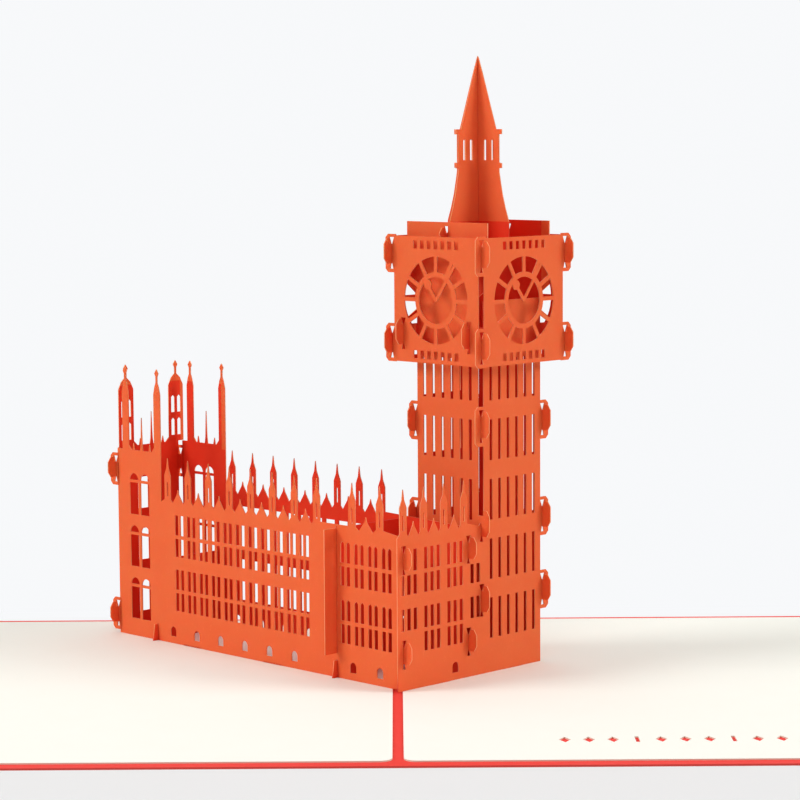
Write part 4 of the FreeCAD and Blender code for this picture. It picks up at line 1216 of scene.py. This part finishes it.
class Indoors:
    """The shader group that finds what lies between four walls of the lattice."""

    NAME = "indoors"

    def build(self) -> bpy.types.ShaderNodeTree:
        """Makes the group once.

        Returns:
            The group. Its inputs are the places of the four walls and the height of their top, in
            metres, and its output Inside is 1 between them.
        """
        tree = bpy.data.node_groups.new(self.NAME, "ShaderNodeTree")
        for name in ("Near", "Far", "Front", "Back", "Top"):
            tree.interface.new_socket(name, in_out="INPUT", socket_type="NodeSocketFloat")
        tree.interface.new_socket("Inside", in_out="OUTPUT", socket_type="NodeSocketFloat")
        make = Nodes(tree)
        inward = make.add("NodeGroupInput").outputs
        outward = make.add("NodeGroupOutput")
        parts = make.add("ShaderNodeSeparateXYZ")
        make.join(make.add("ShaderNodeTexCoord").outputs["Object"], parts.inputs[0])
        x, y = parts.outputs["X"], make.math("SUBTRACT", parts.outputs["Y"],
                                             mm(SIZES.corner_setback - SIZES.card_depth / 2))
        share = math.sqrt(0.5)
        along = make.math("MULTIPLY", make.math("SUBTRACT", y, x), share)
        across = make.math("MULTIPLY", make.math("ADD", y, x), share)
        inside = make.math("LESS_THAN", parts.outputs["Z"], inward["Top"])
        for place, low, high in ((along, "Near", "Far"), (across, "Front", "Back")):
            inside = make.math("MULTIPLY", inside, make.math("GREATER_THAN", place, inward[low]))
            inside = make.math("MULTIPLY", inside, make.math("LESS_THAN", place, inward[high]))
        make.join(inside, outward.inputs["Inside"])
        return tree


@dataclass
class PaperShop:
    """Makes the materials of the card out of their finishes."""

    fibres: bpy.types.ShaderNodeTree | None = None
    edges: bpy.types.ShaderNodeTree | None = None
    indoors: bpy.types.ShaderNodeTree | None = None

    def prepare(self) -> None:
        """Builds the shader groups that the papers share."""
        self.fibres = PaperFibres().build()
        self.edges = CutEdge().build()
        self.indoors = Indoors().build()

    def indoor_shade_mask(self, make: Nodes) -> bpy.types.NodeSocket:
        """1 on the inner side of the hall, the clock tower and the corner tower: the mask of the shade painted
        indoors.

        Args:
            make: The tree that it goes into.

        Returns:
            The socket of the result.
        """
        hall = (0.0, end_wall, front_wall, back_wall, SIZES.pinnacle_top)
        tower = (0.0, tower_side, tower_front, tower_back, SIZES.head_top)
        corner = (SIZES.turret_place, end_wall, front_wall, back_wall, SIZES.turret_cap)
        found = None
        for near, far, front, back, top in (hall, tower, corner):
            room = make.add("ShaderNodeGroup", node_tree=self.indoors)
            inset = mm(SIZES.paper) / 4
            values = (mm(near) + inset, mm(far) - inset, mm(front) + inset, mm(back) - inset, mm(top))
            for slot, value in zip(room.inputs, values):
                slot.default_value = value
            found = room.outputs[0] if found is None else make.math("MAXIMUM", found, room.outputs[0])
        return found

    def material(self, finish: PaperFinish, facing: Facing) -> bpy.types.Material:
        """The material of one finish, on sheets that face one way.

        Args:
            finish: The paper or card.
            facing: The line square to the sheets.

        Returns:
            The material.
        """
        made = bpy.data.materials.new(f"{finish.name}_{facing.name.lower()}")
        made.use_nodes = True
        make = Nodes(made.node_tree)
        shader = made.node_tree.nodes["Principled BSDF"]
        pulp = make.add("ShaderNodeGroup", node_tree=self.fibres)
        pulp.inputs["Grain"].default_value = finish.grain
        edge = make.add("ShaderNodeGroup", node_tree=self.edges)
        edge.inputs["Facing"].default_value = facing.value

        clouds = make.math("MULTIPLY", pulp.outputs["Cloud"], finish.cloud * 2.0, clamp=True)
        base = make.mix(clouds, finish.face, finish.deep)
        pale = tuple(min(1.0, c * 1.25 + 0.02) for c in finish.face[:3]) + (1.0,)
        flecks = make.math("GREATER_THAN", pulp.outputs["Fibre"], 0.66)
        base = make.mix(make.math("MULTIPLY", flecks, finish.fleck * 4.0), base, pale)
        # cut edges take the edge colour, which on the orange paper is partly a painted highlight
        base = make.mix(edge.outputs["Edge"], base, finish.edge)
        # painted shade: the colour turns to the hollow colour where the ambient occlusion mask is high and, on
        # upright sheets, inside the building
        shade = edge.outputs["Hollow"]
        if facing is not Facing.UP:
            shade = make.math("MAXIMUM", shade, make.math("MULTIPLY", self.indoor_shade_mask(make), 0.85))
        base = make.mix(make.math("MULTIPLY", shade, finish.painted_shade_share), base, finish.hollow)
        make.join(base, shader.inputs["Base Color"])

        rough = make.math("ADD", make.math("MULTIPLY", pulp.outputs["Fibre"], 0.12), finish.rough - 0.06)
        make.join(rough, shader.inputs["Roughness"])
        shader.inputs["Specular IOR Level"].default_value = 0.15
        shader.inputs["Subsurface Weight"].default_value = finish.glow
        shader.inputs["Subsurface Radius"].default_value = (1.0, 0.10, 0.03)
        shader.inputs["Subsurface Scale"].default_value = mm(0.7)
        shader.inputs["Sheen Weight"].default_value = 0.04
        shader.inputs["Sheen Roughness"].default_value = 0.6

        bump = make.add("ShaderNodeBump")
        bump.inputs["Strength"].default_value = 0.6
        bump.inputs["Distance"].default_value = finish.relief
        make.join(pulp.outputs["Height"], bump.inputs["Height"])
        make.join(bump.outputs[0], shader.inputs["Normal"])
        return made


@dataclass
class Building:
    """The lattice of orange sheets that stands on the card."""

    finish: PaperFinish = ORANGE_PAPER
    cutter: SheetCutter = field(default_factory=SheetCutter)

    def cut(self) -> None:
        """Cuts every sheet of the building."""
        Hall().build(self.cutter)
        ClockTower().build(self.cutter)

    def sheets(self) -> list[bpy.types.Object]:
        """Every sheet of the building, and the plain node that it stands for."""
        level = {"cover", "left_page", "right_page"}
        nodes = [node for name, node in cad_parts.items() if name not in level]
        return nodes + self.cutter.made

    def dress(self, shop: PaperShop) -> None:
        """Gives the sheets their paper.

        Args:
            shop: Where the material is made.
        """
        papers = {way: shop.material(self.finish, way) for way in (Facing.ALONG, Facing.ACROSS)}
        for node in self.sheets():
            node.data.materials.clear()
            node.data.materials.append(papers[self.way(node)])
            LOG.info("dressed %s", node.name)

    def way(self, node: bpy.types.Object) -> Facing:
        """Which way a sheet of the building faces, by its broad sides.

        Args:
            node: The sheet.

        Returns:
            Along or across.
        """
        def broad(way: Facing) -> float:
            line = Vector(way.value)
            return sum(face.area * abs(face.normal.dot(line)) for face in node.data.polygons)

        return max((Facing.ALONG, Facing.ACROSS), key=broad)


@dataclass
class Card:
    """The folded cover and its two inner pages."""

    page_finish: PaperFinish = CREAM_PAPER
    cover_finish: PaperFinish = RED_CARD

    def dress(self, shop: PaperShop) -> None:
        """Gives cover and pages their card and paper.

        Args:
            shop: Where the materials are made.
        """
        pairs = (("cover", self.cover_finish), ("left_page", self.page_finish), ("right_page", self.page_finish))
        made = {}
        for name, finish in pairs:
            if finish.name not in made:
                made[finish.name] = shop.material(finish, Facing.UP)
            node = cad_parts[name]
            node.data.materials.clear()
            node.data.materials.append(made[finish.name])
            LOG.info("dressed %s", name)


@dataclass
class Studio:
    """The floor, the backdrop, the lamps and the camera.

    Attributes:
        camera_place: Place of the camera, in metres.
        yaw: Turn of the camera to its left, in radians.
        pitch: How far it looks down, in radians.
        roll: Turn about its own axis, in radians.
        lens: Focal length for a sensor 36 mm wide, in millimetres.
    """

    camera_place: tuple[float, float, float] = (mm(0.087), mm(-561.68), mm(121.76))
    yaw: float = -0.0014
    pitch: float = 0.10454
    roll: float = -0.0060
    lens: float = 117.02
    pale: Colour = (0.80, 0.805, 0.81, 1.0)
    backdrop: Colour = (0.935, 0.945, 0.96, 1.0)

    def floor(self) -> None:
        """A wide pale floor that keeps the card's shadow and fades into the backdrop colour behind the card."""
        bpy.ops.mesh.primitive_plane_add(size=6.0, location=(0.0, 0.0, 0.0))
        ground = bpy.context.active_object
        ground.name = "floor"
        made = bpy.data.materials.new("pale_floor")
        made.use_nodes = True
        make = Nodes(made.node_tree)
        shader = made.node_tree.nodes["Principled BSDF"]
        shader.inputs["Base Color"].default_value = self.pale
        shader.inputs["Roughness"].default_value = 0.95
        shader.inputs["Specular IOR Level"].default_value = 0.1
        glow = make.add("ShaderNodeEmission")
        glow.inputs["Color"].default_value = self.backdrop
        glow.inputs["Strength"].default_value = 1.0
        far = make.add("ShaderNodeSeparateXYZ")
        make.join(make.add("ShaderNodeTexCoord").outputs["Object"], far.inputs[0])
        fade = make.add("ShaderNodeMapRange", interpolation_type="SMOOTHSTEP")
        fade.inputs["From Min"].default_value = mm(-30)
        fade.inputs["From Max"].default_value = mm(90)
        make.join(far.outputs["Y"], fade.inputs["Value"])
        blend = make.add("ShaderNodeMixShader")
        make.join(make.math("MULTIPLY", self.direct(make), fade.outputs[0]), blend.inputs[0])
        make.join(shader.outputs[0], blend.inputs[1])
        make.join(glow.outputs[0], blend.inputs[2])
        make.join(blend.outputs[0], made.node_tree.nodes["Material Output"].inputs["Surface"])
        ground.data.materials.append(made)

    def direct(self, make: Nodes) -> bpy.types.NodeSocket:
        """1 for a ray that shows the backdrop in the picture, in gloss or through glass.

        Args:
            make: The tree that it goes into.

        Returns:
            The socket of the result.
        """
        path = make.add("ShaderNodeLightPath")
        return make.math("MAXIMUM", path.outputs["Is Camera Ray"],
                         make.math("MAXIMUM", path.outputs["Is Glossy Ray"], path.outputs["Is Transmission Ray"]))

    def world(self) -> None:
        """Soft even light from all round, and a white background behind the object."""
        room = bpy.data.worlds.new("studio")
        bpy.context.scene.world = room
        room.use_nodes = True
        make = Nodes(room.node_tree)
        room.node_tree.nodes.clear()
        out = make.add("ShaderNodeOutputWorld")
        soft = make.add("ShaderNodeBackground")
        soft.inputs["Color"].default_value = (1.0, 0.99, 0.975, 1.0)
        soft.inputs["Strength"].default_value = 0.25
        white = make.add("ShaderNodeBackground")
        white.inputs["Color"].default_value = self.backdrop
        white.inputs["Strength"].default_value = 1.0
        blend = make.add("ShaderNodeMixShader")
        make.join(self.direct(make), blend.inputs[0])
        make.join(soft.outputs[0], blend.inputs[1])
        make.join(white.outputs[0], blend.inputs[2])
        make.join(blend.outputs[0], out.inputs["Surface"])

    def lamp(self, name: str, place: tuple[float, float, float], aim: tuple[float, float, float], wide: float,
             power: float, colour: tuple[float, float, float]) -> None:
        """One soft lamp.

        Args:
            name: Name of the lamp.
            place: Where it stands, in metres.
            aim: The point that it faces.
            wide: Side of its square front, in metres.
            power: Watts.
            colour: Colour of its light.
        """
        data = bpy.data.lights.new(name, "AREA")
        data.shape = "SQUARE"
        data.size = wide
        data.energy = power
        data.color = colour
        lamp = bpy.data.objects.new(name, data)
        bpy.context.scene.collection.objects.link(lamp)
        lamp.location = place
        lamp.rotation_euler = (Vector(aim) - Vector(place)).to_track_quat("-Z", "Y").to_euler()

    def lamps(self) -> None:
        """Large soft lamps at the left and right, and a weaker one above the camera."""
        middle = (0.0, 0.0, mm(50))
        self.lamp("left_lamp", (-1.24, -0.30, 0.84), middle, 0.6, 11.8, (1.0, 1.0, 0.99))
        self.lamp("right_lamp", (1.24, -0.24, 0.84), middle, 0.6, 10.6, (1.0, 1.0, 0.99))
        self.lamp("front_lamp", (0.0, -1.3, 1.1), middle, 0.9, 2.4, (1.0, 1.0, 1.0))
        self.lamp("top_lamp", (0.0, 0.35, 1.5), middle, 1.0, 6.2, (1.0, 1.0, 1.0))

    def camera(self) -> None:
        """The camera at the photograph's place and angle."""
        right = Vector((math.cos(self.yaw), math.sin(self.yaw), 0.0))
        ahead = Vector((-math.sin(self.yaw) * math.cos(self.pitch), math.cos(self.yaw) * math.cos(self.pitch),
                        -math.sin(self.pitch)))
        above = right.cross(ahead)
        side = right * math.cos(self.roll) + above * math.sin(self.roll)
        top = -right * math.sin(self.roll) + above * math.cos(self.roll)
        turned = Matrix((side, top, -ahead)).transposed().to_4x4()
        data = bpy.data.cameras.new("camera")
        data.lens = self.lens
        data.sensor_width = 36.0
        data.sensor_fit = "HORIZONTAL"
        eye = bpy.data.objects.new("camera", data)
        bpy.context.scene.collection.objects.link(eye)
        eye.matrix_world = Matrix.Translation(self.camera_place) @ turned
        bpy.context.scene.camera = eye

    def build(self) -> None:
        """Builds the whole studio."""
        self.floor()
        self.world()
        self.lamps()
        self.camera()
        bpy.context.scene.view_settings.view_transform = "Standard"


def main() -> None:
    """Cuts and dresses the building, dresses the card and sets up the studio."""
    logging.basicConfig(level=logging.INFO, format="%(message)s")
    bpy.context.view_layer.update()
    bpy.ops.object.select_all(action="DESELECT")
    shop = PaperShop()
    shop.prepare()
    building = Building()
    building.cut()
    building.dress(shop)
    Card().dress(shop)
    Studio().build()


if __name__ == "__main__":
    main()
